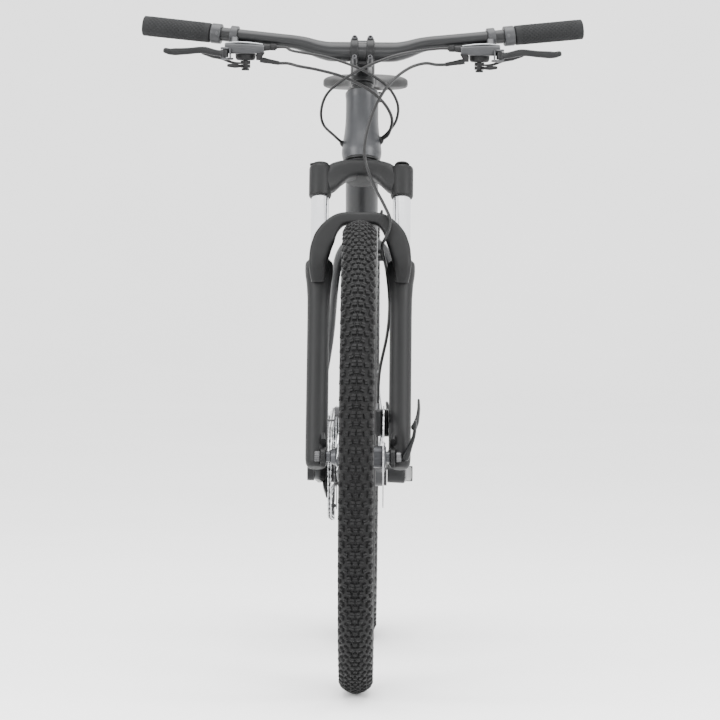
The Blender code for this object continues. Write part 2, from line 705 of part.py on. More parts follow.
# --- frame ----------------------------------------------------------------------------
HEAD_JOIN = CROWN + UP * 50.0
DOWN_BEND = CROWN + UP * 38.0 + REAR * 76.0
TOP_JOIN_FRONT = CROWN + UP * 97.0
TOP_JOIN_REAR = SEAT_TOP - SEAT_UP * 32.0
STAY_JOIN = SEAT_TOP - SEAT_UP * 52.0
DROP_X = REAR_OLD / 2 + GAP + DROPOUT_T / 2


def head_tube():
    """The head tube, swollen over its lower bearing."""
    top = HEAD_LOW + HEAD_TUBE_L
    profile = [(0, top), (HEAD_TUBE_R + 1, top), (HEAD_TUBE_R, top - 8),
               (HEAD_TUBE_R, top - 50), (HEAD_BELLY_R, HEAD_LOW + 13), (HEAD_BELLY_R - 2.5, HEAD_LOW),
               (0, HEAD_LOW)]
    return turned(profile, STEER, 20)


def tubes(thinner):
    """The main tubes, or the space inside them when they are made thinner."""
    down = smooth([HEAD_JOIN, DOWN_BEND, DOWN_BEND.lerp(BB, 0.2), DOWN_BEND.lerp(BB, 0.6), BB], 11)
    end = BB_SHELL_R + 2.0
    radii = [DOWN_TUBE_R + (end - DOWN_TUBE_R) * max(0, i - 3) / 7 - thinner for i in range(11)]
    top = [TOP_JOIN_FRONT.lerp(TOP_JOIN_REAR, i / 3) for i in range(4)]
    top_r = [TOP_TUBE_R - thinner - 0.8 * i for i in range(4)]
    return sweep(down, radii, 3 if thinner else 4), sweep(top, top_r, 2 if thinner else 3)


def stays(side):
    """The chainstay, the seatstay and the dropout of one side."""
    chain = smooth([(side * 20, BB.y + 8, BB.z), (side * 33.5, BB.y + 46, BB.z + 5),
                    (side * 40.5, BB.y + 92, BB.z + 12),
                    (side * 53, BB.y + 200, BB.z + 28), (side * (DROP_X - 1.5), REAR_AXLE.y - 110, BB.z + 46),
                    (side * DROP_X, REAR_AXLE.y - 18, REAR_AXLE.z - 5)], 10)
    seat = smooth([STAY_JOIN + Vector((side * 10, -4, 4)), STAY_JOIN + Vector((side * 34, 26, -14)),
                   STAY_JOIN + Vector((side * 47, 60, -54)), STAY_JOIN + Vector((side * 57, 160, -160)),
                   (side * DROP_X, REAR_AXLE.y - 60, REAR_AXLE.z + 74),
                   (side * DROP_X, REAR_AXLE.y - 10, REAR_AXLE.z + 20)], 11)
    body = sweep(chain, [8.5, 8.0] + [CHAINSTAY_R] * 5 + [7, 6.2, 5], 2)
    body = unite(body, sweep(seat, [9, 8] + [SEATSTAY_R] * 6 + [6.6, 6, 5], 2))
    out = frame_of(Vector((side * DROP_X, REAR_AXLE.y, REAR_AXLE.z)), Y, Z, X)
    outline = [(-34, -12), (-10, -20), (12, -20), (18, -4), (14, 16), (-4, 34), (-18, 32), (-14, 12)]
    if side < 0:
        outline = [(-34, -12), (-6, -20), (-4, -42), (4, -46), (14, -44), (18, -20), (20, -4),
                   (14, 16), (-4, 34), (-18, 32), (-14, 12)]
    return unite(body, plate([outline], DROPOUT_T, out))


def port(side, at, way):
    """A cable port that stands a little off the head tube."""
    at = Vector(at)
    return rod(at - Vector(way) * 16, at, 5.5, 4.6, sides=12)


PORT_WAY = Vector((0.62, -0.55, 0.56)).normalized()
PORT_A = CROWN + UP * 39 + Vector((33.0, -8.0, 2.0))
PORT_B = CROWN + UP * 44 + Vector((32.0, 9.0, 0.0))
PORT_C = CROWN + UP * 36 + Vector((-33.0, -6.0, 0.0))
TAIL_BRAKE = Vector((DROP_X - 13.0, REAR_AXLE.y - 128.0, BB.z + 51.0))
TAIL_SHIFT = Vector((-DROP_X - 11.0, REAR_AXLE.y - 96.0, BB.z + 44.0))


def frame_body():
    """The welded frame with its tubes open inside."""
    down, top = tubes(0.0)
    body = unite(head_tube(), down, top)
    seat_r = SEAT_TUBE_R
    body = unite(body, moved(rod((0, 0, 0), (0, 0, SEAT_TUBE_L), seat_r, sides=16), SEAT_FRAME))
    half = BB_SHELL_W / 2
    body = unite(body, rod((0, 0, -half), (0, 0, half), BB_SHELL_R, sides=18, frame=CRANK))
    body = unite(body, stays(1), stays(-1))
    bridge_y = REAR_AXLE.y - TYRE_R - 16
    body = unite(body, rod((-41, bridge_y, BB.z + 9), (41, bridge_y, BB.z + 9), 7.0, sides=10))
    high = STAY_JOIN + Vector((0, 50, -28))
    body = unite(body, rod(high - X * 42, high + X * 42, 6.0, sides=10))
    for side, at in ((1, PORT_A), (1, PORT_B), (-1, PORT_C)):
        body = unite(body, port(side, at, Vector((side * PORT_WAY.x, PORT_WAY.y, PORT_WAY.z))))
    body = unite(body, rod(TAIL_BRAKE - Vector((-8, 22, 8)), TAIL_BRAKE, 5.0, 4.0, sides=10))
    body = unite(body, rod(TAIL_SHIFT - Vector((-9, 22, 1)), TAIL_SHIFT, 5.0, 3.6, sides=10))
    mount = box((REAR_ROTOR_X + 7.6, REAR_AXLE.y - 92, REAR_AXLE.z - 12),
                (DROP_X + 3, REAR_AXLE.y - 48, REAR_AXLE.z + 16))
    body = unite(body, mount)
    clamp = moved(rod((0, 0, 98), (0, 0, 126), SEAT_TUBE_R + 3, sides=16), SEAT_FRAME)
    arm = box((-32, -12, 101), (-6, 6, 123), frame=SEAT_FRAME)
    body = unite(body, clamp, arm)
    run = (BB - DOWN_BEND).normalized()
    out = X.cross(run)
    out = -out if out.z < 0 else out
    for share in (0.42, 0.53):
        foot = DOWN_BEND.lerp(BB, share)
        body = unite(body, rod(foot + out * 18, foot + out * (DOWN_TUBE_R + 2.5), 7.0, sides=12))
    down, top = tubes(TUBE_WALL)
    body = cut(body, down, top)
    low = HEAD_LOW - 8
    body = cut(body, moved(rod((0, 0, low), (0, 0, HEAD_HIGH + 5), 20.0, sides=24), STEER))
    body = cut(body, moved(rod((0, 0, 0), (0, 0, SEAT_TUBE_L + 6), POST_R + GAP, sides=16), SEAT_FRAME))
    body = cut(body, rod((0, 0, -half - 5), (0, 0, half + 5), BB_SHELL_R - 4.5, sides=18, frame=CRANK))
    for side in (-1, 1):
        hole = rod((side * (DROP_X - 12), REAR_AXLE.y, REAR_AXLE.z),
                   (side * (DROP_X + 12), REAR_AXLE.y, REAR_AXLE.z), 2.9, sides=10)
        body = cut(body, hole)
    return body


def headset(low, high, flange, stub):
    """A bearing cup: its flange, and the stub that sits in the head tube."""
    side = 1 if stub > high else -1
    face = high if side > 0 else low
    bore = STEERER_R + GAP + 0.3
    profile = [(bore, low), (flange, low), (flange, high), (20.0 - GAP, face),
               (20.0 - GAP, stub), (bore, stub)]
    if side < 0:
        profile = [(bore, stub), (20.0 - GAP, stub), (20.0 - GAP, low), (flange, low),
                   (flange - 5, high), (bore, high)]
    return turned(profile, STEER, 16, closed=True)


def bottom_bracket():
    """Two bearing cups and the sleeve between them, as one turned piece."""
    half = BB_SHELL_W / 2 + GAP
    bore = 12.4
    inner = BB_SHELL_R - 4.5 - GAP
    profile = [(bore, -half - 7), (21, -half - 7), (21, -half), (inner, -half), (inner, half),
               (21, half), (21, half + 7), (bore, half + 7)]
    return turned(profile, CRANK, 14, closed=True)


# --- seat -----------------------------------------------------------------------------
def seat_collar():
    """The collar round the top of the seat tube."""
    low = SEAT_TUBE_L - 14
    body = rod((0, 0, low), (0, 0, SEAT_TUBE_L + 0.5), SEAT_TUBE_R + 3.6, sides=16)
    body = unite(body, box((-8, 16, low + 1), (8, 32, SEAT_TUBE_L)))
    body = cut(body, rod((0, 0, low - 5), (0, 0, SEAT_TUBE_L + 5), SEAT_TUBE_R + GAP, sides=16))
    body = cut(body, box((-0.8, 10, low - 3), (0.8, 40, SEAT_TUBE_L + 5)))
    bolt = rod((-13, 26, low + 7), (15, 26, low + 7), 3.2, sides=12)
    return moved(unite(body, bolt), SEAT_FRAME)


def seatpost():
    """The seatpost with the clamp that holds the saddle's rails."""
    tube = rod((0, 0, SEAT_TUBE_L - 105), (0, 0, SEAT_TUBE_L + POST_L - 3), POST_R, sides=16)
    bore = rod((0, 0, SEAT_TUBE_L - 112), (0, 0, SEAT_TUBE_L + POST_L - 24), POST_R - 2.4, sides=12)
    body = moved(cut(tube, bore), SEAT_FRAME)
    y, z = POST_TOP.y, POST_TOP.z
    body = unite(body, box((-29, y - 20, z - 7), (29, y + 20, z + 1.2), bevel=1.5))
    body = unite(body, box((-15, y - 14, z - 3), (15, y + 14, z + 11), bevel=1.0))
    return unite(body, box((-29, y - 14, z + 8.8), (29, y + 14, z + 12.2), bevel=0.8))


def saddle_rails():
    """The saddle's one bent rail wire."""
    y, z = POST_TOP.y, POST_TOP.z + 5.0
    half = [(23, y + 102, z + 5.6), (23, y + 74, z + 2), (22, y + 40, z), (22, y, z), (22, y - 40, z),
            (18, y - 76, z + 1), (11, y - 104, z + 4.5), (6, y - 118, z + 5.0)]
    run = half + [(-p[0], p[1], p[2]) for p in reversed(half)]
    return sweep(smooth(run, 17), 3.4, 2)


def saddle():
    """The saddle's body as a plain solid of its outline."""
    y = POST_TOP.y
    half = [(0, y - 148), (14, y - 145), (20, y - 132), (22, y - 80), (30, y - 30), (46, y + 20),
            (66, y + 55), (SADDLE_W / 2, y + 88), (SADDLE_W / 2 - 3, y + 108), (52, y + 124),
            (24, y + 126), (0, y - 148 + SADDLE_L - 6)]
    outline = half + [(-u, v) for u, v in reversed(half[1:-1])]
    low = POST_TOP.z + 14.4
    top = SADDLE_TOP_Z
    at = Matrix.Translation((0, 0, (low + top) / 2))
    return plate([outline], top - low, at)


# --- drivetrain -----------------------------------------------------------------------
def pitch_r(teeth):
    """Pitch radius of a sprocket."""
    return LINK / (2 * math.sin(math.pi / teeth))


def disc_r(teeth):
    """Radius of a sprocket's disc under the chain."""
    return pitch_r(teeth) - CHAIN_R - 0.9


GUIDE = REAR_AXLE + Vector((0, 10.0, -68.0))
TENSION = REAR_AXLE + Vector((0, -8.0, -140.0))


def chain_path():
    """The chain's closed line round its sprockets, as it runs over and under them."""
    wheels = [(BB, pitch_r(RING_BIG), 1), (REAR_AXLE, pitch_r(COG_USED), 1),
              (GUIDE, pitch_r(PULLEY_TEETH), -1), (TENSION, pitch_r(PULLEY_TEETH), 1)]
    flat = [(Vector((c.y, c.z)), r, s) for c, r, s in wheels]
    leave, arrive = [], []
    for i in range(4):
        (c0, r0, s0), (c1, r1, s1) = flat[i], flat[(i + 1) % 4]
        gap = c1 - c0
        k = (s0 * r0 - s1 * r1) / gap.length
        unit = gap.normalized()
        left = Vector((-unit.y, unit.x))
        normal = unit * k + left * math.sqrt(1 - k * k)
        leave.append(math.atan2(normal.y * s0, normal.x * s0))
        arrive.append(math.atan2(normal.y * s1, normal.x * s1))
    points = []
    for i in range(4):
        centre, r, sign = flat[i]
        start, stop = arrive[i - 1], leave[i]
        sweep_angle = (start - stop) % (2 * math.pi) if sign > 0 else -((stop - start) % (2 * math.pi))
        count = max(3, int(abs(sweep_angle) * max(r, 40) / 22) + 1)
        stretch = 1 / math.cos(sweep_angle / count / 2)
        for k in range(count + 1):
            turn = start - sweep_angle * k / count
            reach = r if k in (0, count) else r * stretch ** 0.5
            points.append(Vector((CHAIN_LINE, centre.x + reach * math.cos(turn),
                                  centre.y + reach * math.sin(turn))))
    return points


def cassette():
    """The cogs, turned as one stepped piece."""
    profile = []
    half = 0.9
    for i, teeth in enumerate(COG_TEETH):
        x = COG_FIRST + COG_STEP * i
        profile += [(20.0, x - half), (disc_r(teeth), x - half), (disc_r(teeth), x + half),
                    (20.0, x + half)]
    profile[0] = (17.4, COG_FIRST - half)
    profile[-1] = (17.4, COG_FIRST + COG_STEP * (len(COG_TEETH) - 1) + half)
    return turned(profile, REAR_WHEEL, 13, closed=True)


def crank_end(side):
    """The middle of a crank's outer end."""
    tilt = math.radians(CRANK_TILT)
    ahead = -1 if side < 0 else 1
    return BB + Vector((side * (CRANK_OUT - 6), ahead * CRANK_L * math.cos(tilt),
                        -ahead * CRANK_L * math.sin(tilt)))


def crank_arm(side):
    """A forged crank arm with its pedal hole."""
    root = BB + Vector((side * 66, 0, 0))
    end = crank_end(side)
    path = [root.lerp(end, i / 5) for i in range(6)]
    body = sweep(path, [10.5, 9.5, 8.6, 8.2, 8.2, 8.6], 3)
    body = unite(body, rod(end - X * 6, end + X * 6, 13.5, sides=16))
    inner = side * (BB_SHELL_W / 2 + GAP + 7 + GAP + 0.4)
    body = unite(body, rod(BB + X * inner, BB + X * side * 74, 15.5, 17.0, sides=16))
    return cut(body, rod(end - X * 10, end + X * 10, 6.9, sides=12))


def crank_right():
    """The drive-side crank with its spider and the spindle."""
    body = crank_arm(-1)
    for i in range(4):
        turn = math.pi / 4 + i * math.pi / 2
        far = Vector((0, 54 * math.cos(turn), 54 * math.sin(turn)))
        body = unite(body, rod(BB + X * -61.0, BB + X * (CHAIN_LINE - 6.0) + far, 6.5, 4.0, sides=8))
    return unite(body, rod(BB + X * -72, BB + X * (CRANK_OUT - 11), 12.0, sides=16))


def crank_left():
    """The left crank, bored for the spindle."""
    body = crank_arm(1)
    return cut(body, rod(BB + X * 36, BB + X * (CRANK_OUT + 6), 12.4, sides=16))


def chainrings():
    """Both chainrings and the bolts between them."""
    big = plate([ring_points(disc_r(RING_BIG), 36), ring_points(47.0, 24)], 2.4,
                CRANK @ Matrix.Translation((0, 0, CHAIN_LINE)))
    small = plate([ring_points(disc_r(RING_SMALL), 24), ring_points(24.0, 16)], 2.4,
                  CRANK @ Matrix.Translation((0, 0, SMALL_RING_LINE)))
    body = big
    for i in range(4):
        turn = math.pi / 4 + i * math.pi / 2
        foot = BB + Vector((0, 33 * math.cos(turn), 33 * math.sin(turn)))
        far = BB + Vector((0, 50 * math.cos(turn), 50 * math.sin(turn)))
        arm = rod(foot + X * (SMALL_RING_LINE - 1), far + X * (CHAIN_LINE + 1.8), 4.0, 3.4, sides=8)
        body = unite(body, arm)
    return unite(body, small)


def front_derailleur():
    """The front derailleur's arm and cage."""
    z_low, z_high = BB.z + disc_r(RING_BIG) + 2.0, BB.z + 92
    side = frame_of(Vector((0, BB.y, 0)), Y, Z, X)
    outline = [(-34, z_low + 2), (22, z_low), (34, z_low + 4), (30, z_high - 3), (-18, z_high)]
    outer = plate([outline], 1.6, side @ Matrix.Translation((0, 0, CHAIN_LINE - 7.2)))
    inner = plate([outline], 1.6, side @ Matrix.Translation((0, 0, CHAIN_LINE + 6.2)))
    top = box((CHAIN_LINE - 8, BB.y - 6, z_high - 5), (CHAIN_LINE + 7, BB.y + 12, z_high - 1))
    body = unite(outer, inner, top)
    arm = box((CHAIN_LINE + 6, -24, 84), (-28.3, -12.0 - GAP, 121), frame=SEAT_FRAME)
    return unite(body, arm)


def rear_derailleur():
    """The rear derailleur's knuckles and parallelogram."""
    high = REAR_AXLE + Vector((0, 5, -37))
    low = GUIDE
    body = rod(high + X * (-DROP_X - DROPOUT_T / 2 - GAP), high + X * -88, 11.0, sides=16)
    body = unite(body, rod(high + X * -85, low + X * -79, 7.5, sides=12))
    return unite(body, rod(low + X * (CHAIN_LINE - 8.9), low + X * -84, 12.0, sides=16))


def rear_cage():
    """The two plates that hold the guide and tension pulleys."""
    way = TENSION - GUIDE
    along = way.normalized()
    across = X.cross(along)
    side = frame_of(GUIDE, along, across, X.copy())
    length = way.length
    outline = [(-9, -4), (-6, -8), (20, -7), (length, -7), (length + 7, 0), (length, 7), (20, 7),
               (-6, 8), (-9, 4)]
    outer = plate([outline], 1.6, side @ Matrix.Translation((0, 0, CHAIN_LINE - 7.5)))
    inner = plate([outline], 1.6, side @ Matrix.Translation((0, 0, CHAIN_LINE + 6.3)))
    body = outer
    for at in (GUIDE, TENSION):
        body = unite(body, rod(at + X * (CHAIN_LINE - 8), at + X * (CHAIN_LINE + 6.6), 3.0, sides=12))
    return unite(body, inner)


def pulley(at):
    """A jockey pulley on its bolt."""
    spot = frame_of(at + X * CHAIN_LINE, Y, Z, X)
    return plate([ring_points(disc_r(PULLEY_TEETH), 16), ring_points(3.4, 10)], 2.2, spot)


# --- hoses and cables -----------------------------------------------------------------
def lever_exit(side, point):
    """A point of the lever unit's, in the world, on either side."""
    at = BAR_MID + point
    return Vector((side * at.x, at.y, at.z))


RELIEF = UNIT + Vector((-73, -26, -44.5))
BARREL = UNIT + Vector((-69, -31, -19))


def hose(start, lead, points, r, count):
    """A hose through its points, from a fitting that points along lead."""
    route = [start + lead * (GAP + 0.4), start + lead * 14] + [Vector(p) for p in points]
    return sweep(smooth(route, count), r, 2)


def hose_to_port(side, outlet, points, at, port_side, r, count):
    """A hose from a lever's fitting to a port on the frame."""
    lead = Vector((-side, -0.05, -0.02)).normalized()
    way = Vector((port_side * PORT_WAY.x, PORT_WAY.y, PORT_WAY.z))
    return hose(lever_exit(side, outlet), lead, points + [at + way * 16, at + way * (GAP + 0.3)],
                r, count)


BRAKE_HOSE_R = 2.5
SHIFT_CABLE_R = 2.2


def build():
    """Make every piece and hang it on its joint."""
    joint("steering_axis", STEER)
    slide = frame_of(CROWN - UP * FORK_L, X, REAR, UP)
    joint("fork_slide_axis", slide, "steering_axis")
    joint("front_wheel_axis", FRONT_WHEEL, "fork_slide_axis")
    joint("rear_wheel_axis", REAR_WHEEL)
    joint("crank_axis", CRANK)

    # the frame and what is fixed to it
    piece("frame", frame_body(), "frame_paint", Matrix.Translation((0, 0, 0)))
    piece("headset_cup_lower", headset(GAP, HEAD_LOW - GAP, HEAD_BELLY_R - 3, HEAD_LOW + 14),
          "black_alloy", STEER)
    piece("headset_cup_upper", headset(HEAD_HIGH + GAP, HEAD_HIGH + 5.0, 25.5, HEAD_HIGH - 14),
          "black_alloy", STEER)
    piece("bottom_bracket", bottom_bracket(), "black_alloy", CRANK)
    piece("seat_collar", seat_collar(), "black_alloy", SEAT_FRAME)
    pivot = SEAT_FRAME @ Vector((16.0, 26.0, SEAT_TUBE_L - 7))
    lever_axes = frame_of(pivot, X, SEAT_UP.cross(X), SEAT_UP)
    points = smooth([(3.0, 1, 0), (9, -12, 0), (13, -26, 1), (15, -46, 2)], 6)
    lever = sweep(points, [4.2, 4.6, 4.4, 4.4, 4.6, 3.4], 2, frame=lever_axes)
    piece("seat_quick_release_lever", lever, "black_alloy", lever_axes)
    piece("seatpost", seatpost(), "black_alloy", SEAT_FRAME)
    post = Matrix.Translation(POST_TOP)
    piece("saddle_rails", saddle_rails(), "steel", post, "seatpost")
    piece("saddle", saddle(), "saddle_cover", post, "seatpost")
    rear_place = Matrix.Translation(REAR_AXLE)
    piece("rear_brake_caliper", caliper(rear_place, REAR_ROTOR_X, (-92, -10), (-52, 14), True),
          "black_alloy", rear_place)
    tail = [TAIL_BRAKE + Vector((-0.3, 0.7, 0.2)), TAIL_BRAKE + Vector((-5, 14, 7)),
            REAR_AXLE + Vector((REAR_ROTOR_X - 9.5, -88, 44)),
            REAR_AXLE + Vector((REAR_ROTOR_X - 9.5, -64, 38)),
            REAR_AXLE + Vector((REAR_ROTOR_X - 9.5, -60, 23.4))]
    piece("rear_brake_hose_tail", sweep(smooth(tail, 12), BRAKE_HOSE_R, 2), "cable_skin",
          Matrix.Translation(TAIL_BRAKE))
    tail = [TAIL_SHIFT + Vector((-0.3, 0.7, 0.0)), TAIL_SHIFT + Vector((-8, 26, 2)),
            TAIL_SHIFT + Vector((-14, 70, -4)), TAIL_SHIFT + Vector((-14.5, 112, -14)),
            TAIL_SHIFT + Vector((-11, 142, -36)), REAR_AXLE + Vector((-84.0, 36, -62)),
            REAR_AXLE + Vector((-82.0, 17.8, -49.5))]
    piece("rear_shift_cable_tail", sweep(smooth(tail, 16), SHIFT_CABLE_R, 2), "cable_skin",
          Matrix.Translation(TAIL_SHIFT))

    # the front end
    piece("crown_steerer", crown_steerer(), "fork_paint", STEER, "steering_axis")
    for side, name in ((1, "left"), (-1, "right")):
        leg = rod(at_leg(side, STANCHION_LOW), at_leg(side, CROWN_HIGH - 4 - GAP), STANCHION_R,
                  sides=18)
        place = STEER @ Matrix.Translation(at_leg(side, LEG_TOP))
        piece("stanchion_" + name, moved(leg, STEER), "chrome", place, "steering_axis")
    knob_at = at_leg(1, CROWN_HIGH + GAP)
    knob = turned([(0, 0), (13.5, 0), (13.5, 4), (10, 7.5), (0, 8.5)],
                  STEER @ Matrix.Translation(knob_at), 20)
    piece("preload_knob", knob, "black_plastic", STEER @ Matrix.Translation(knob_at), "steering_axis")
    cap_at = at_leg(-1, CROWN_HIGH + GAP)
    cap = rod(cap_at, cap_at + Vector((0, 0, 5)), 13.5, sides=20)
    cap = unite(cap, rod(cap_at + Vector((-13, 0, 1.5)), cap_at + Vector((-13, 0, 5)), 7.0, sides=14))
    piece("lockout_lever", moved(cap, STEER), "black_plastic",
          STEER @ Matrix.Translation(cap_at), "steering_axis")
    piece("stem", stem(), "black_alloy", STEM_FRAME, "steering_axis")
    piece("stem_faceplate", faceplate(), "black_alloy", STEM_FRAME, "steering_axis")
    cap_z = STEM_H + STEM_HEIGHT / 2 + GAP
    cap = turned([(0, 0), (17, 0), (17, 2.2), (14, 3.4), (0, 3.4)],
                 STEER @ Matrix.Translation((0, 0, cap_z)), 24)
    piece("top_cap", cap, "black_alloy", STEER @ Matrix.Translation((0, 0, cap_z)), "steering_axis")
    piece("handlebar", handlebar(), "black_alloy", BAR_FRAME, "steering_axis")
    for side, name in ((1, "left"), (-1, "right")):
        def sided(obj):
            if side > 0:
                return obj
            other = mirrored(obj)
            bpy.data.objects.remove(obj, do_unlink=True)
            return other

        def spot(point):
            at = BAR_MID + point
            return Matrix.Translation((side * at.x, at.y, at.z))

        piece("grip_" + name, sided(grip()), "grip_rubber", spot(bar_at(BAR_W / 2 - GRIP_L)),
              "steering_axis")
        piece("lever_body_" + name, sided(lever_body()), "grey_cover", spot(UNIT), "steering_axis")
        piece("brake_lever_" + name, sided(brake_lever()), "black_alloy", spot(PIVOT),
              "steering_axis")
        piece("thumb_paddle_" + name, sided(thumb_paddle()), "black_plastic", spot(POD),
              "steering_axis")
        piece("release_trigger_" + name, sided(release_trigger()), "black_plastic", spot(POD),
              "steering_axis")
    piece("fork_lowers", fork_lowers(), "fork_paint", slide, "fork_slide_axis")
    front_place = Matrix.Translation(FRONT_AXLE)
    piece("front_brake_caliper", caliper(front_place, FRONT_ROTOR_X, (50, 30), (86, 72)),
          "black_alloy", front_place, "fork_slide_axis")
    half = FRONT_OLD / 2 + GAP + 8
    piece("front_skewer", skewer(FRONT_WHEEL, half, 9.0), "steel", FRONT_WHEEL, "fork_slide_axis")
    start = Vector((half + 9.0 + 6.5 + GAP, 0.0, 0.0))
    swing = frame_of(FRONT_AXLE + X * start.x, X, Y, Z)
    lever = smooth([(0, 0, 0), (6, -2, 14), (13, -5, 34), (15, -6, 56)], 7)
    lever = sweep(lever, [6.8, 5.8, 5.0, 4.8, 5.0, 5.4, 4.0], 2, frame=swing)
    piece("front_quick_release_lever", lever, "black_alloy", swing, "fork_slide_axis")

    # the wheels
    front_hub = [(0, -49.7), (8.5, -49.7), (8.5, -40), (13, -36), (29, -32.5), (29, -29.5), (14, -26),
                 (11, 0), (14, 15), (29, 18.5), (29, 21.5), (20, 24), (21, FRONT_ROTOR_X - 1.4),
                 (17.5, FRONT_ROTOR_X - 1.4), (17.5, FRONT_ROTOR_X + 3), (8.5, FRONT_ROTOR_X + 4.5),
                 (8.5, 49.7), (0, 49.7)]
    rear_hub = [(0, -67.3), (8.5, -67.3), (8.5, -64.4), (16.5, -64), (16.5, -26.5), (14, -25),
                (29, -22.5), (29, -19.5), (15, -16), (12, 5), (15, 28), (29, 31.5), (29, 34.5),
                (20, 38), (21, REAR_ROTOR_X - 1.4), (17.5, REAR_ROTOR_X - 1.4),
                (17.5, REAR_ROTOR_X + 3), (8.5, REAR_ROTOR_X + 4.5), (8.5, 67.3), (0, 67.3)]
    for name, wheel, left, right, profile, disc, parent in (
            ("front", FRONT_WHEEL, 20.0, -31.0, front_hub, FRONT_ROTOR_X, "front_wheel_axis"),
            ("rear", REAR_WHEEL, 33.0, -21.0, rear_hub, REAR_ROTOR_X, "rear_wheel_axis")):
        body = hub(wheel, left, right, profile)
        far = 60 + abs(profile[0][1])
        body = cut(body, rod((0, 0, -far), (0, 0, far), 2.9, sides=10, frame=wheel))
        piece(name + "_hub_and_spokes", body, "silver", wheel, parent)
        piece(name + "_tyre", tyre(wheel), "tyre_rubber", wheel, parent)
        piece(name + "_rim", rim(wheel), "black_alloy", wheel, parent)
        piece(name + "_brake_disc", rotor(wheel, disc), "steel", wheel, parent)
    half = REAR_OLD / 2 + GAP + DROPOUT_T
    piece("rear_skewer", skewer(REAR_WHEEL, half, 9.0), "steel", REAR_WHEEL)
    swing = frame_of(REAR_AXLE + X * (half + 9.0 + 6.9 + GAP), X, Y, Z)
    lever = smooth([(0, 0, 0), (5, 8, 12), (8, 22, 30), (8, 36, 46)], 7)
    lever = sweep(lever, [6.8, 5.8, 5.0, 4.8, 5.0, 5.4, 4.0], 2, frame=swing)
    piece("rear_quick_release_lever", lever, "black_alloy", swing)

    # the drivetrain
    piece("cassette", cassette(), "silver", REAR_WHEEL)
    piece("crank_right", crank_right(), "black_alloy", CRANK, "crank_axis")
    piece("chainrings", chainrings(), "steel", CRANK, "crank_axis")
    piece("crank_left", crank_left(), "black_alloy", CRANK, "crank_axis")
    piece("chain", sweep(chain_path(), CHAIN_R, 2, loop=True), "silver",
          Matrix.Translation(BB + X * CHAIN_LINE))
    pivot = Vector((-30.0, BB.y + 16, BB.z + 110))
    piece("front_derailleur", front_derailleur(), "steel", Matrix.Translation(pivot))
    piece("rear_derailleur", rear_derailleur(), "black_alloy",
          Matrix.Translation(REAR_AXLE + Vector((-DROP_X, 5, -37))))
    cage = frame_of(GUIDE + X * CHAIN_LINE, Y, Z, X)
    piece("rear_derailleur_cage", rear_cage(), "steel", cage)
    piece("guide_pulley", pulley(GUIDE), "black_plastic", cage, "rear_derailleur_cage")
    piece("tension_pulley", pulley(TENSION), "black_plastic",
          frame_of(TENSION + X * CHAIN_LINE, Y, Z, X), "rear_derailleur_cage")

    # the hoses and cables between the bars, the frame and the fork
    at = Matrix.Translation(BAR_MID)
    y = BAR_MID.y
    body = hose_to_port(-1, RELIEF, [(-101, y - 16, 983), (-69, y - 22, 977), (-29, y - 26, 966),
                                     (11, y - 28, 946), (36, y - 24, 924), (48, y - 12, 900)],
                        PORT_A, 1, BRAKE_HOSE_R, 19)
    piece("rear_brake_hose", body, "cable_skin", at, "steering_axis")
    body = hose_to_port(-1, BARREL, [(-110, y - 20, 1007), (-60, y - 33, 998), (-18, y - 38, 985),
                                     (14, y - 38, 970), (42, y - 30, 950), (57, y - 8, 924),
                                     (55, y + 14, 899)],
                        PORT_B, 1, SHIFT_CABLE_R, 21)
    piece("rear_shift_cable", body, "cable_skin", at, "steering_axis")
    body = hose_to_port(1, BARREL, [(92, y - 24, 1009), (59, y - 42, 1002), (27, y - 50, 991),
                                    (-2, y - 52, 978), (-32, y - 46, 960), (-56, y - 32, 938),
                                    (-65, y - 12, 912), (-61, y + 6, 890)],
                        PORT_C, -1, SHIFT_CABLE_R, 21)
    piece("front_shift_cable", body, "cable_skin", at, "steering_axis")
    lead = Vector((-1, -0.05, -0.02)).normalized()
    end = FRONT_AXLE + Vector((FRONT_ROTOR_X - 9.5, 78.0, 81.4))
    body = hose(lever_exit(1, RELIEF), lead,
                [(99, y - 20, 989), (75, y - 32, 981), (50, y - 50, 962), (33, y - 60, 940),
                 (19, y - 66, 912), (9, y - 68, 880), (5, y - 69, 851), (8, y - 70, 826),
                 (20, y - 79, 795), (37, y - 91, 763), (46.5, y - 101, 742), (46, y - 108, 727),
                 (42, y - 111.5, 715), (35.5, y - 111, 702), (35.0, y - 97, 690), (38, y - 82, 677), (42.5, y - 66, 655), (47, y - 84, 608),
                 (44, y - 98, 560), (33, y - 118, 505),
                 (end.x, end.y, end.z + 16), (end.x, end.y, end.z)],
                BRAKE_HOSE_R, 34)
    piece("front_brake_hose", body, "cable_skin", at, "steering_axis")


build()
bpy.context.view_layer.update()
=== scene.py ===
# %% Load the frame
import math
import json
import bpy
import bmesh
import numpy as np
from mathutils import Matrix, Vector


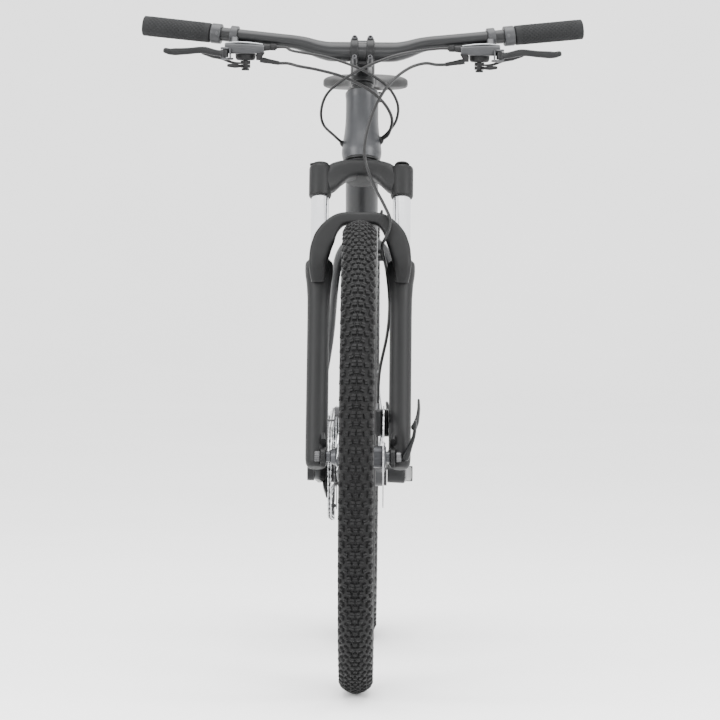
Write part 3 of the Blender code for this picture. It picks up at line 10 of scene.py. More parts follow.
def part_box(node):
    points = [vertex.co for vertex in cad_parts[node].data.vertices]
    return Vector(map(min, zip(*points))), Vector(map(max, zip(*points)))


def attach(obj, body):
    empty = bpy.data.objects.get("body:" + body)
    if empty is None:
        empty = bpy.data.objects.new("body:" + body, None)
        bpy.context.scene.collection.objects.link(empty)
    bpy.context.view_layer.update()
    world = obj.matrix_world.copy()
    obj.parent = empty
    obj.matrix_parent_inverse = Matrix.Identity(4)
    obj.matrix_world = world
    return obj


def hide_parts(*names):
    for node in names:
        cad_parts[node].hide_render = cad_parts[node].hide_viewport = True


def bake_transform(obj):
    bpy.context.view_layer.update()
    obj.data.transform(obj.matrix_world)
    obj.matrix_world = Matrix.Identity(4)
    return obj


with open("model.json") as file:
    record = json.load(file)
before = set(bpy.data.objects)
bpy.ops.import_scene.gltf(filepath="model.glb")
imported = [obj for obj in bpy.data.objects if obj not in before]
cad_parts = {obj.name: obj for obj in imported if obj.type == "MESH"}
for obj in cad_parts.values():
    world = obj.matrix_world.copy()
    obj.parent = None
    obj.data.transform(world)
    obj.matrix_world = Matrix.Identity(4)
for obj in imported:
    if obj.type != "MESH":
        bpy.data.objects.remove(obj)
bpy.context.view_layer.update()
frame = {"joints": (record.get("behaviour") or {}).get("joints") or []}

# %% [markdown]
# # A hardtail mountain bike, one surface at a time
# The mechanical model gives every piece its place and its joint. This lesson gives
# each piece its finished surface. A shape here is a grid of points worked out from
# two numbers, such as the place along a tube and the angle round it, so a whole
# surface is one array, and the faces join each point to its neighbours.

# %% Places that the mechanical model gives
JOINTS = {j["name"]: j for j in frame["joints"]}


def place(joint):
    """The point on a hinge's axis, in metres."""
    return np.array(JOINTS[joint]["pos_m"])


def vec(x, y, z):
    """Three millimetres as metres."""
    return np.array((x, y, z)) / 1000.0


FRONT_AXLE = place("front_wheel_spin")
REAR_AXLE = place("rear_wheel_spin")
BB = place("crank_spin")
CROWN = place("steering")
UP = np.array(JOINTS["steering"]["axis"])
SIDE = np.array((1.0, 0.0, 0.0))
BACK = np.cross(UP, SIDE)
SEAT_UP = np.array(JOINTS["seatpost_height"]["axis"])
TYRE_R = (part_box("front_tyre")[1][2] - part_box("front_tyre")[0][2]) / 2
print("axles at", FRONT_AXLE, REAR_AXLE, "tyre radius", round(TYRE_R, 4))

# %% [markdown]
# ## Surfaces from grids
# Blender can make a tube or a turned shape with curves and modifiers. Working the
# points out directly keeps full control of the section all the way along, which a
# bent lever or a shaped tube needs, and numpy does all the points at once.


# %% Faces of a grid
def grid_faces(rows, columns, wrap_rows=False, wrap_columns=True):
    """Quads that join each grid point to the next row and the next column."""
    r = np.arange(rows if wrap_rows else rows - 1)
    c = np.arange(columns if wrap_columns else columns - 1)
    r, c = np.meshgrid(r, c, indexing="ij")
    r2, c2 = (r + 1) % rows, (c + 1) % columns
    quads = np.stack([r * columns + c, r * columns + c2, r2 * columns + c2, r2 * columns + c], -1)
    return quads.reshape(-1, 4)


def joined(parts):
    """Several (points, quads) pairs as one pair."""
    points, quads, count = [], [], 0
    for p, q in parts:
        points.append(p.reshape(-1, 3))
        quads.append(q + count)
        count += len(points[-1])
    return np.concatenate(points), np.concatenate(quads)


# %% [markdown]
# A path is given by a few points that a smooth curve passes through. The curve
# used here is Catmull and Rom's: between two points it is a cubic whose slope at
# each end comes from the points on either side.


# %% Smooth paths
def curve(points, count):
    """A cubic through the points, stepped evenly along its length."""
    p = np.asarray(points, float)
    p = np.vstack([2 * p[0] - p[1], p, 2 * p[-1] - p[-2]])
    t = np.linspace(0, 1, 24, endpoint=False)[None, :, None]
    a, b, c, d = p[:-3, None], p[1:-2, None], p[2:-1, None], p[3:, None]
    fine = 0.5 * (2 * b + (c - a) * t + (2 * a - 5 * b + 4 * c - d) * t ** 2
                  + (3 * b - a - 3 * c + d) * t ** 3)
    fine = np.vstack([fine.reshape(-1, p.shape[1]), p[-2]])
    far = np.concatenate([[0], np.cumsum(np.linalg.norm(np.diff(fine, axis=0), axis=1))])
    goal = np.linspace(0, far[-1], count)
    return np.stack([np.interp(goal, far, fine[:, k]) for k in range(p.shape[1])], -1)


def spread(values, count):
    """Given values carried smoothly over count steps."""
    values = np.atleast_1d(np.asarray(values, float))
    if len(values) == 1:
        return np.full(count, values[0])
    t = np.linspace(0, 1, len(values))
    return np.interp(np.linspace(0, 1, count), t, values)


# %% A section carried along a path
def carry(path, wide, high, up=(0, 0, 1), power=2.0, sides=24, ends="flat", closed=False):
    """Rings round a path: at angle a a ring's point lies wide*cos(a) to the side and
    high*sin(a) upward, each raised to 2/power so that a larger power is squarer."""
    path = np.asarray(path, float)
    n = len(path)
    run = np.gradient(path, axis=0)
    if closed:
        run = np.roll(path, -1, 0) - np.roll(path, 1, 0)
    run /= np.linalg.norm(run, axis=1)[:, None]
    up = np.broadcast_to(np.asarray(up, float), (n, 3))
    side = np.cross(run, up)
    side /= np.linalg.norm(side, axis=1)[:, None]
    lift = np.cross(side, run)
    wide, high = spread(wide, n), spread(high, n)
    if ends == "round":
        turn = np.linspace(0, np.pi / 2, 6)[1:]
        shrink = np.maximum(np.cos(turn), 0.0)
        reach = np.sin(turn)
        size0, size1 = min(wide[0], high[0]), min(wide[-1], high[-1])
        head = path[0] - run[0] * size0 * reach[::-1, None]
        tail = path[-1] + run[-1] * size1 * reach[:, None]
        path = np.vstack([head, path, tail])
        side = np.vstack([np.repeat(side[:1], 5, 0), side, np.repeat(side[-1:], 5, 0)])
        lift = np.vstack([np.repeat(lift[:1], 5, 0), lift, np.repeat(lift[-1:], 5, 0)])
        wide = np.concatenate([wide[0] * shrink[::-1], wide, wide[-1] * shrink])
        high = np.concatenate([high[0] * shrink[::-1], high, high[-1] * shrink])
    elif not closed:
        path = np.vstack([path[:1], path, path[-1:]])
        side = np.vstack([side[:1], side, side[-1:]])
        lift = np.vstack([lift[:1], lift, lift[-1:]])
        wide = np.concatenate([[0], wide, [0]])
        high = np.concatenate([[0], high, [0]])
    a = np.linspace(0, 2 * np.pi, sides, endpoint=False)
    c = np.sign(np.cos(a)) * np.abs(np.cos(a)) ** (2 / power)
    s = np.sign(np.sin(a)) * np.abs(np.sin(a)) ** (2 / power)
    rings = (path[:, None] + side[:, None] * (wide[:, None] * c)[..., None]
             + lift[:, None] * (high[:, None] * s)[..., None])
    return rings.reshape(-1, 3), grid_faces(len(path), sides, wrap_rows=closed)


def hose(path, r, sides=12):
    """A round tube whose rings turn as little as they can along a bending path."""
    run = np.gradient(path, axis=0)
    run /= np.linalg.norm(run, axis=1)[:, None]
    up = np.zeros_like(path)
    first = np.array((0.0, 0.0, 1.0)) if abs(run[0][2]) < 0.9 else np.array((0.0, 1.0, 0.0))
    for i, way in enumerate(run):
        first = first - way * first.dot(way)
        first /= np.linalg.norm(first)
        up[i] = first
    return carry(path, r, r, up=up, sides=sides)


# %% A profile turned round an axis
def turn(profile, centre, axis, steps=64, loop=False):
    """A profile of (radius, height) pairs: a point at angle a lies radius*cos(a) and
    radius*sin(a) off the axis, at its height along it."""
    profile = np.asarray(profile, float)
    axis = np.asarray(axis, float) / np.linalg.norm(axis)
    one = np.cross(axis, (0.0, 0.0, 1.0) if abs(axis[2]) < 0.9 else (0.0, 1.0, 0.0))
    one /= np.linalg.norm(one)
    two = np.cross(axis, one)
    a = np.linspace(0, 2 * np.pi, steps, endpoint=False)
    off = np.cos(a)[:, None] * one + np.sin(a)[:, None] * two
    grid = (np.asarray(centre) + profile[:, None, 1:] * axis
            + profile[:, None, :1] * off[None])
    return grid.reshape(-1, 3), grid_faces(len(profile), steps, wrap_rows=loop)


def rounded(profile, r=0.0006):
    """A profile with each inner corner swapped for two points, a small r apart."""
    p = np.asarray(profile, float)
    out = [p[:1]]
    for a, b, c in zip(p, p[1:], p[2:]):
        before, after = np.linalg.norm(a - b), np.linalg.norm(c - b)
        k0, k1 = min(r / max(before, 1e-9), 0.4), min(r / max(after, 1e-9), 0.4)
        start, stop = b + (a - b) * k0, b + (c - b) * k1
        out.append(np.array([start, (start + stop + 2 * b) / 4, stop]))
    out.append(p[-1:])
    return np.vstack(out)


# %% [markdown]
# Bars, bolts and small blocks recur everywhere on a bike, so each has its own short
# helper. A rod is a turned profile, and a block is a squarish section carried
# along a short straight path.


# %% Rods, blocks and flat plates
def rod(a, b, r, r_end=None, steps=32, bevel=0.0005):
    """A straight rod with its end corners rounded."""
    a, b = np.asarray(a, float), np.asarray(b, float)
    way = b - a
    length = np.linalg.norm(way)
    end = r if r_end is None else r_end
    bevel = min(bevel, length * 0.3, r * 0.4, end * 0.4)
    profile = [(0, 0), (r - bevel, 0), (r, bevel), (end, length - bevel), (end - bevel, length),
               (0, length)]
    return turn(profile, a, way, steps)


def block(a, b, wide, high, up=(0, 0, 1), power=7.0, bevel=0.001, sides=32):
    """A rounded box from a to b, as one squarish section with drawn-in ends."""
    a, b = np.asarray(a, float), np.asarray(b, float)
    way = (b - a) / np.linalg.norm(b - a)
    path = np.array([a, a + way * bevel, b - way * bevel, b])
    return carry(path, [wide - bevel, wide, wide, wide - bevel],
                 [high - bevel, high, high, high - bevel], up=up, power=power, sides=sides)


def disc(radius, inner, thick, centre, axis, steps=360, bevel=0.0):
    """A flat ring whose outer radius may change with the angle, as a toothed edge does."""
    axis = np.asarray(axis, float)
    one = np.cross(axis, (0.0, 0.0, 1.0))
    two = np.cross(axis, one)
    a = np.linspace(0, 2 * np.pi, steps, endpoint=False)
    edge = np.broadcast_to(radius(a) if callable(radius) else radius, a.shape)
    hole = np.broadcast_to(inner(a) if callable(inner) else inner, a.shape)
    half = thick / 2
    rings = [(hole, -half), (edge - bevel, -half), (edge, -half + bevel), (edge, half - bevel),
             (edge - bevel, half), (hole, half)]
    off = np.cos(a)[:, None] * one + np.sin(a)[:, None] * two
    grid = np.stack([np.asarray(centre) + r[:, None] * off + axis * z for r, z in rings])
    return grid.reshape(-1, 3), grid_faces(6, steps, wrap_rows=True)


def teeth(count, pitch, tall=0.0055, sharp=1.4):
    """The outer radius of a sprocket: its root, with a rounded point for each tooth."""
    base = pitch / (2 * math.sin(math.pi / count))

    def radius(a):
        wave = 0.5 + 0.5 * np.cos(a * count)
        return base - 0.0038 + tall * wave ** sharp * 1.05
    return radius


# %% [markdown]
# A piece is made by handing its points and faces to a mesh. Corners that coincide
# are welded, so seams and poles are closed, faces are turned outward, and edges
# sharper than a chosen angle stay crisp under smooth shading.

# %% From points to a named piece
MADE = []


def piece(name, parts, material, body, replaces=(), crisp=32.0, blend=None):
    """Make one object of the given surfaces and hang it on its body, or leave it unhung in place when blend is
    given.
    """
    points, quads = joined(parts if isinstance(parts, list) else [parts])
    mesh = bpy.data.meshes.new(name)
    mesh.vertices.add(len(points))
    mesh.vertices.foreach_set("co", points.astype(np.float32).ravel())
    mesh.loops.add(quads.size)
    mesh.loops.foreach_set("vertex_index", quads.astype(np.int32).ravel())
    mesh.polygons.add(len(quads))
    mesh.polygons.foreach_set("loop_start", np.arange(0, quads.size, 4, dtype=np.int32))
    mesh.update(calc_edges=True)
    work = bmesh.new()
    work.from_mesh(mesh)
    bmesh.ops.remove_doubles(work, verts=work.verts, dist=2e-6)
    bmesh.ops.dissolve_degenerate(work, dist=1e-7, edges=work.edges)
    bmesh.ops.recalc_face_normals(work, faces=work.faces)
    work.to_mesh(mesh)
    work.free()
    mesh.shade_smooth()
    mesh.set_sharp_from_angle(angle=math.radians(crisp))
    mesh.materials.append(material)
    obj = bpy.data.objects.new(name, mesh)
    bpy.context.scene.collection.objects.link(obj)
    if blend:
        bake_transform(obj)
    else:
        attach(obj, body)
    if replaces:
        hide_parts(*([replaces] if isinstance(replaces, str) else replaces))
    MADE.append((name, len(mesh.polygons)))
    return obj

# %% [markdown]
# ## Finishes
# A real finish is never one flat colour. Each one here mixes two close tones with a
# slow pattern, varies its gloss with a finer one, and raises a very fine grain. On
# painted metal the raised edges are rubbed a little lighter. One builder sets these
# parts up, and each finish then adds what only it shows.


# %% One builder for the finishes
def finish(name, dark, light, rough=(0.35, 0.5), metal=0.0, patch=14.0, grain=900.0, bump=0.12,
           stretch=(1, 1, 1), wear=None, coat=0.0, height=0.0002, shine=0.5):
    """Slow noise mixes the tones, fine noise moves the gloss and lifts the grain."""
    mat = bpy.data.materials.new(name)
    mat.use_nodes = True
    nodes, link = mat.node_tree.nodes, mat.node_tree.links.new
    shader = nodes["Principled BSDF"]
    shader.inputs["Metallic"].default_value = metal
    shader.inputs["Specular IOR Level"].default_value = shine
    shader.inputs["Coat Weight"].default_value = coat
    shader.inputs["Coat Roughness"].default_value = 0.25
    coord = nodes.new("ShaderNodeTexCoord")
    mapping = nodes.new("ShaderNodeMapping")
    mapping.inputs["Scale"].default_value = stretch
    link(coord.outputs["Object"], mapping.inputs["Vector"])
    slow, fine = nodes.new("ShaderNodeTexNoise"), nodes.new("ShaderNodeTexNoise")
    slow.inputs["Scale"].default_value = patch
    slow.inputs["Detail"].default_value = 5.0
    slow.inputs["Roughness"].default_value = 0.65
    fine.inputs["Scale"].default_value = grain
    fine.inputs["Detail"].default_value = 3.0
    for noise in (slow, fine):
        link(mapping.outputs["Vector"], noise.inputs["Vector"])
    tone = nodes.new("ShaderNodeValToRGB")
    tone.color_ramp.elements[0].position, tone.color_ramp.elements[1].position = 0.3, 0.7
    tone.color_ramp.elements[0].color = (*dark, 1)
    tone.color_ramp.elements[1].color = (*light, 1)
    link(slow.outputs["Fac"], tone.inputs["Fac"])
    gloss = nodes.new("ShaderNodeMapRange")
    gloss.inputs["From Min"].default_value, gloss.inputs["From Max"].default_value = 0.3, 0.7
    gloss.inputs["To Min"].default_value, gloss.inputs["To Max"].default_value = rough
    blend = nodes.new("ShaderNodeMath")
    blend.operation = "ADD"
    half = nodes.new("ShaderNodeMath")
    half.operation = "MULTIPLY"
    half.inputs[1].default_value = 0.5
    link(slow.outputs["Fac"], blend.inputs[0])
    link(fine.outputs["Fac"], blend.inputs[1])
    link(blend.outputs[0], half.inputs[0])
    link(half.outputs[0], gloss.inputs["Value"])
    link(gloss.outputs["Result"], shader.inputs["Roughness"])
    raise_ = nodes.new("ShaderNodeBump")
    raise_.inputs["Strength"].default_value = bump
    raise_.inputs["Distance"].default_value = height
    link(fine.outputs["Fac"], raise_.inputs["Height"])
    link(raise_.outputs["Normal"], shader.inputs["Normal"])
    colour = tone.outputs["Color"]
    if wear:
        shape = nodes.new("ShaderNodeNewGeometry")
        edge = nodes.new("ShaderNodeMapRange")
        edge.inputs["From Min"].default_value, edge.inputs["From Max"].default_value = 0.53, 0.62
        edge.inputs["To Max"].default_value = 0.5
        link(shape.outputs["Pointiness"], edge.inputs["Value"])
        broken = nodes.new("ShaderNodeMath")
        broken.operation = "MULTIPLY"
        link(edge.outputs["Result"], broken.inputs[0])
        link(slow.outputs["Fac"], broken.inputs[1])
        rub = nodes.new("ShaderNodeMix")
        rub.data_type = "RGBA"
        rub.inputs["B"].default_value = (*wear, 1)
        link(broken.outputs[0], rub.inputs["Factor"])
        link(colour, rub.inputs["A"])
        colour = rub.outputs["Result"]
    link(colour, shader.inputs["Base Color"])
    return mat


def relief(mat, texture, amount, distance, mapping_scale=(1, 1, 1), **settings):
    """Lay one more pattern over a finish's bump, such as ribs, weave or pebbles."""
    nodes, link = mat.node_tree.nodes, mat.node_tree.links.new
    shader = nodes["Principled BSDF"]
    below = shader.inputs["Normal"].links[0].from_socket
    coord = nodes.new("ShaderNodeTexCoord")
    mapping = nodes.new("ShaderNodeMapping")
    mapping.inputs["Scale"].default_value = mapping_scale
    pattern = nodes.new(texture)
    for key, value in settings.items():
        if key in pattern.inputs:
            pattern.inputs[key].default_value = value
        else:
            setattr(pattern, key, value)
    bump = nodes.new("ShaderNodeBump")
    bump.inputs["Strength"].default_value = amount
    bump.inputs["Distance"].default_value = distance
    link(coord.outputs["Object"], mapping.inputs["Vector"])
    link(mapping.outputs["Vector"], pattern.inputs["Vector"])
    out = "Distance" if "Distance" in pattern.outputs else "Fac"
    link(pattern.outputs[out], bump.inputs["Height"])
    link(below, bump.inputs["Normal"])
    link(bump.outputs["Normal"], shader.inputs["Normal"])
    return mat


# %% [markdown]
# The frame's paint is a satin anthracite with a fine flake in it, and the fork's is
# plain matte black. The bar and stem are anodised, so they are smoother and show a
# soft metallic sheen. Levers and small castings are moulded or forged, with a
# rougher skin.

# %% Paints, metals and plastics
frame_paint = finish("frame_paint", (0.0050, 0.0053, 0.0058), (0.0090, 0.0095, 0.0105),
                     (0.30, 0.44),
                     metal=0.15, grain=1600, bump=0.08, wear=(0.05, 0.05, 0.053), coat=0.12,
                     shine=0.3)
head_paint = finish("head_paint", (0.022, 0.023, 0.025), (0.034, 0.035, 0.038), (0.30, 0.42),
                    metal=0.25, grain=1600, bump=0.08, wear=(0.08, 0.08, 0.08), coat=0.1,
                    shine=0.35)
fork_paint = finish("fork_paint", (0.0024, 0.0025, 0.0027), (0.0046, 0.0048, 0.0051), (0.42, 0.56),
                    grain=1300, bump=0.14, wear=(0.02, 0.02, 0.021), shine=0.22)
chrome = finish("chrome", (0.62, 0.63, 0.65), (0.74, 0.75, 0.77), (0.09, 0.20), metal=1.0,
                grain=500, bump=0.02, stretch=(1, 1, 0.06))
silver = finish("silver", (0.42, 0.43, 0.44), (0.62, 0.63, 0.64), (0.22, 0.38), metal=1.0,
                grain=700, bump=0.08, stretch=(0.08, 1, 1))
hub_silver = finish("hub_silver", (0.030, 0.031, 0.033), (0.055, 0.056, 0.060), (0.28, 0.42),
                    metal=0.8, grain=900, bump=0.1, stretch=(0.1, 1, 1), wear=(0.3, 0.3, 0.3))
disc_steel = finish("disc_steel", (0.34, 0.34, 0.35), (0.52, 0.52, 0.53), (0.2, 0.42), metal=1.0,
                    grain=420, bump=0.12)
relief(disc_steel, "ShaderNodeTexWave", 0.12, 0.0001, Scale=420.0, Distortion=1.2,
       bands_direction="Z")
black_alloy = finish("black_alloy", (0.0038, 0.0040, 0.0043), (0.0080, 0.0083, 0.0088),
                     (0.30, 0.45),
                     metal=0.3, grain=1100, bump=0.12, wear=(0.09, 0.09, 0.093), shine=0.3)
bar_finish = finish("bar_finish", (0.0055, 0.0057, 0.006), (0.0105, 0.011, 0.0118), (0.26, 0.38),
                    metal=0.25, grain=1500, bump=0.06, stretch=(0.12, 1, 1), coat=0.1, shine=0.3)
steel = finish("steel", (0.035, 0.035, 0.037), (0.08, 0.08, 0.084), (0.28, 0.45), metal=0.9,
               grain=800, bump=0.12, wear=(0.35, 0.35, 0.35))
black_plastic = finish("black_plastic", (0.0032, 0.0032, 0.0034), (0.0065, 0.0065, 0.0069),
                       (0.45, 0.6),
                       grain=1500, bump=0.3, wear=(0.02, 0.02, 0.021), shine=0.22)
cover_grey = finish("cover_grey", (0.016, 0.0165, 0.018), (0.030, 0.031, 0.033), (0.34, 0.5),
                    metal=0.3, grain=1300, bump=0.18, wear=(0.17, 0.17, 0.18))
# Painted highlight: a bright silver-grey metal for the strip laid along each control body's top.
bright_cover = finish("bright_cover", (0.30, 0.31, 0.32), (0.46, 0.47, 0.48), (0.26, 0.4),
                      metal=0.8, grain=900, bump=0.1)
print("paints, metals and plastics:", len(bpy.data.materials))

# %% [markdown]
# Rubber comes in several kinds. A tyre's knobs are dusty and dull while its side
# wall shows the casing's threads. A grip is softer and pebbled. The saddle's cover is
# an embossed synthetic leather, and a cable's skin is smooth and slightly glossy.

# %% Rubber, leather and cable skin
tyre_rubber = finish("tyre_rubber", (0.0028, 0.0028, 0.0029), (0.0062, 0.0062, 0.0064),
                     (0.50, 0.72), grain=620, bump=0.35, height=0.0003,
                     wear=(0.018, 0.018, 0.0185), shine=0.14)
casing_rubber = finish("casing_rubber", (0.0022, 0.0022, 0.0023), (0.0048, 0.0048, 0.0050),
                       (0.48, 0.66), grain=800, bump=0.25, shine=0.14)
relief(casing_rubber, "ShaderNodeTexWave", 0.35, 0.0003, Scale=260.0, Distortion=0.6,
       bands_direction="DIAGONAL")
grip_rubber = finish("grip_rubber", (0.0075, 0.0078, 0.0081), (0.0140, 0.0143, 0.0149),
                     (0.58, 0.78),
                     grain=1100, bump=0.3, wear=(0.05, 0.05, 0.052), shine=0.15)
relief(grip_rubber, "ShaderNodeTexVoronoi", 0.35, 0.0003, Scale=900.0)
saddle_cover = finish("saddle_cover", (0.0028, 0.0028, 0.0030), (0.0058, 0.0058, 0.0062),
                      (0.42, 0.58), grain=700, bump=0.25, wear=(0.03, 0.03, 0.031), shine=0.2)
relief(saddle_cover, "ShaderNodeTexVoronoi", 0.45, 0.0004, Scale=620.0)
cable_skin = finish("cable_skin", (0.0025, 0.0025, 0.0027), (0.0055, 0.0055, 0.0058), (0.28, 0.42),
                    grain=1500, bump=0.1, shine=0.3)
print("finishes in all:", len(bpy.data.materials))

# %% [markdown]
# ## Wheels
# A knobbly tyre is a casing with a few hundred rubber blocks moulded on it. The
# casing is a profile turned round the axle. The blocks could be copied with an
# array modifier along a circle, but here one small block is a grid of heights, and
# numpy places every copy at once on the casing's curve.

# %% Tyre casing
BEAD_R = TYRE_R - 0.059
HALF_W = 0.0265
CROWN_R = TYRE_R - 0.0045
MID_R = BEAD_R + 0.0295


def casing_at(phi):
    """Casing's (radius, side, outward radius, outward side) at an angle from its crown:
    an ellipse whose upper half is taller than it is wide."""
    tall = CROWN_R - MID_R
    r, x = MID_R + tall * np.cos(phi), HALF_W * np.sin(phi)
    nr, nx = np.cos(phi) / tall, np.sin(phi) / HALF_W
    size = np.hypot(nr, nx)
    return r, x, nr / size, nx / size


def casing(centre):
    """The casing: its outside from bead to bead, then its inside back again."""
    phi = np.radians(np.linspace(-150, 150, 49))
    r, x, nr, nx = casing_at(phi)
    seat = 0.0124
    low = np.abs(phi) > np.radians(128)
    x = np.where(low, np.sign(phi) * np.maximum(np.abs(x), seat), x)
    outside = np.stack([r, x], -1)
    inside = np.stack([r - nr * 0.003, x - nx * 0.003], -1)[::-1]
    feet = np.array([(BEAD_R - 0.006, -seat), (BEAD_R - 0.006, seat),
                     (BEAD_R - 0.006, seat - 0.003),
                     (BEAD_R - 0.006, -seat + 0.003)])
    profile = np.vstack([feet[:1], outside, feet[1:3], inside, feet[3:]])
    return turn(profile, centre, SIDE, 172, loop=True)


# %% [markdown]
# Each block is a little grid of heights: nothing at its rim, full height inside, and
# a shallow cut across its top. The rows alternate: a pair beside the middle line,
# then a wider set of three, with shoulder blocks outside that lean over the edge.


# %% Tread blocks
def block_grid(long, wide, tall, cut):
    """Local (along, across, up) points of one block, with sides that lean in."""
    u = np.array([-1.0, -1.0, -0.86, -0.12, -0.06, 0.06, 0.12, 0.86, 1.0, 1.0])
    hu = np.array([0.0, 0.9, 1.0, 1.0, 1 - cut, 1 - cut, 1.0, 1.0, 0.9, 0.0])
    v = np.array([-1.0, -1.0, -0.84, 0.84, 1.0, 1.0])
    hv = np.array([0.0, 0.9, 1.0, 1.0, 0.9, 0.0])
    height = np.minimum(hu[:, None], hv[None]) * tall - 0.0012
    lean = 1.0 + 0.22 * (1 - np.minimum(hu[:, None], hv[None]))
    along = u[:, None] * lean * long / 2 * np.ones_like(hv)[None]
    across = v[None] * lean * wide / 2 * np.ones_like(hu)[:, None]
    return np.stack([along, across, height], -1).reshape(-1, 3), grid_faces(10, 6,
                                                                            wrap_columns=False)


def blocks(centre, theta, phi, long, wide, tall, skew=0.0, cut=0.45):
    """Copies of a block at wheel angles theta and at casing angle phi."""
    local, quads = block_grid(long, wide, tall, cut)
    ca, sa = math.cos(skew), math.sin(skew)
    local = local @ np.array([[ca, sa, 0], [-sa, ca, 0], [0, 0, 1]])
    r, x, nr, nx = casing_at(phi)
    radial = np.stack([np.zeros_like(theta), np.cos(theta), np.sin(theta)], -1)
    along = np.stack([np.zeros_like(theta), -np.sin(theta), np.cos(theta)], -1)
    across = nr * SIDE - nx * radial
    up = nx * SIDE + nr * radial
    base = np.asarray(centre) + radial * r + SIDE * x
    points = (base[:, None] + along[:, None] * local[None, :, :1]
              + across[:, None] * local[None, :, 1:2] + up[:, None] * local[None, :, 2:])
    step = np.arange(len(theta))[:, None, None] * len(local)
    return points.reshape(-1, 3), (quads[None] + step).reshape(-1, 4)


def tread(centre):
    """All the blocks of one tyre, in two alternating rows repeated 86 times."""
    a = np.arange(86) * 2 * np.pi / 86
    b = a + np.pi / 86
    parts = []
    for s in (-1, 1):
        parts += [blocks(centre, a, s * 0.155, 0.0090, 0.0062, 0.0044, s * 0.12),
                  blocks(centre, b + 0.002, s * 0.330, 0.0072, 0.0058, 0.0042, s * -0.25),
                  blocks(centre, a + 0.004, s * 0.545, 0.0070, 0.0062, 0.0042, s * 0.2),
                  blocks(centre, b, s * 0.830, 0.0088, 0.0064, 0.0044, s * -0.1),
                  blocks(centre, a - 0.003, s * 1.070, 0.0068, 0.0056, 0.0038, s * 0.15),
                  blocks(centre, b, s * 1.290, 0.0060, 0.0040, 0.0016, 0.0, 0.0)]
    parts.append(blocks(centre, b, 0.0, 0.0056, 0.0058, 0.0044, 0.0, 0.6))
    ring = turn([(CROWN_R - 0.001, -0.0007), (CROWN_R + 0.0008, -0.0005),
                 (CROWN_R + 0.0008, 0.0005),
                 (CROWN_R - 0.001, 0.0007)], centre, SIDE, 172, loop=True)
    return parts + [ring]


for end, axle in (("front", FRONT_AXLE), ("rear", REAR_AXLE)):
    tyre = piece(end + "_tyre_casing", casing(axle), casing_rubber, end + "_wheel",
                 end + "_tyre", 50)
    knobs = piece(end + "_tyre_tread", tread(axle), tyre_rubber, end + "_wheel", (), 38)
    print(end, "tread faces:", len(knobs.data.polygons))

# %% [markdown]
# The rim is an extruded channel bent into a hoop, so a turned profile is its real
# shape. Spokes leave the hub's flanges almost along a tangent and cross each other
# on the way to the rim, which lets them carry the push of pedalling and braking.


# %% Rims, hubs and spokes
def rim(centre):
    """The rim's closed section: a deep channel with rounded shoulders and hooked walls."""
    low, top = BEAD_R - 0.019, BEAD_R + 0.006
    half = [(low, 0.0), (low, 0.0075), (low + 0.0012, 0.0095), (low + 0.0075, 0.0146),
            (low + 0.009, 0.0150), (top - 0.001, 0.0150), (top, 0.0146), (top, 0.0132),
            (top - 0.003, 0.0128), (top - 0.012, 0.0126), (top - 0.0135, 0.009),
            (top - 0.0150, 0.0)]
    profile = half + [(r, -x) for r, x in reversed(half[1:-1])]
    return turn(profile, centre, SIDE, 160, loop=True)


def spokes(centre, left, right, flange=0.026, count=32):
    """Straight wires whose feet on the hub lie 62 degrees round from their rim ends."""
    i = np.arange(count)
    side = np.where(i % 2 == 0, left, right)
    lean = np.where((i // 2) % 2 == 0, 1, -1)
    angle = 2 * np.pi * i / count
    start = angle - lean * math.radians(62)
    foot = np.stack([side + lean * 0.0013, flange * np.cos(start), flange * np.sin(start)], -1)
    reach = BEAD_R - 0.0185
    tip = np.stack([np.sign(side) * 0.0025, reach * np.cos(angle), reach * np.sin(angle)], -1)
    wires, nipples = [], []
    for a, b in zip(foot + centre, tip + centre):
        way = (b - a) / np.linalg.norm(b - a)
        wires.append(rod(a, b, 0.001, steps=8, bevel=0.0002))
        nipples.append(rod(b - way * 0.011, b, 0.0017, 0.0021, steps=8, bevel=0.0003))
    return wires, nipples


FRONT_ROTOR = np.mean([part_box("front_brake_disc")[k][0] for k in (0, 1)])
REAR_ROTOR = np.mean([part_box("rear_brake_disc")[k][0] for k in (0, 1)])


def hub(end):
    """The hub's turned profile with its two drilled flanges."""
    x = {"front": (FRONT_ROTOR, 0.020, -0.031, 0.0497, -0.0497),
         "rear": (REAR_ROTOR, 0.033, -0.021, 0.0673, -0.0673)}[end]
    disc_x, fl, fr, out, inn = x
    right = [(0.0045, inn), (0.0085, inn), (0.0085, inn + 0.006), (0.011, inn + 0.0075)]
    if end == "rear":
        right = [(0.0045, inn), (0.0085, inn), (0.0085, inn + 0.003), (0.0164, inn + 0.0035),
                 (0.0164, -0.0255)]
    profile = right + [(0.0135, fr - 0.004), (0.0165, fr - 0.0022), (0.0287, fr - 0.0014),
                       (0.0292, fr), (0.0287, fr + 0.0014), (0.0165, fr + 0.0025),
                       (0.0125, fr + 0.008), (0.0112, (fl + fr) / 2), (0.0125, fl - 0.008),
                       (0.0165, fl - 0.0025), (0.0287, fl - 0.0014), (0.0292, fl),
                       (0.0287, fl + 0.0014), (0.0172, fl + 0.0022), (0.0172, disc_x + 0.0029),
                       (0.0155, disc_x + 0.0042), (0.0085, disc_x + 0.0045), (0.0085, out),
                       (0.0045, out), (0.0045, inn)]
    return rounded(profile, 0.0005)


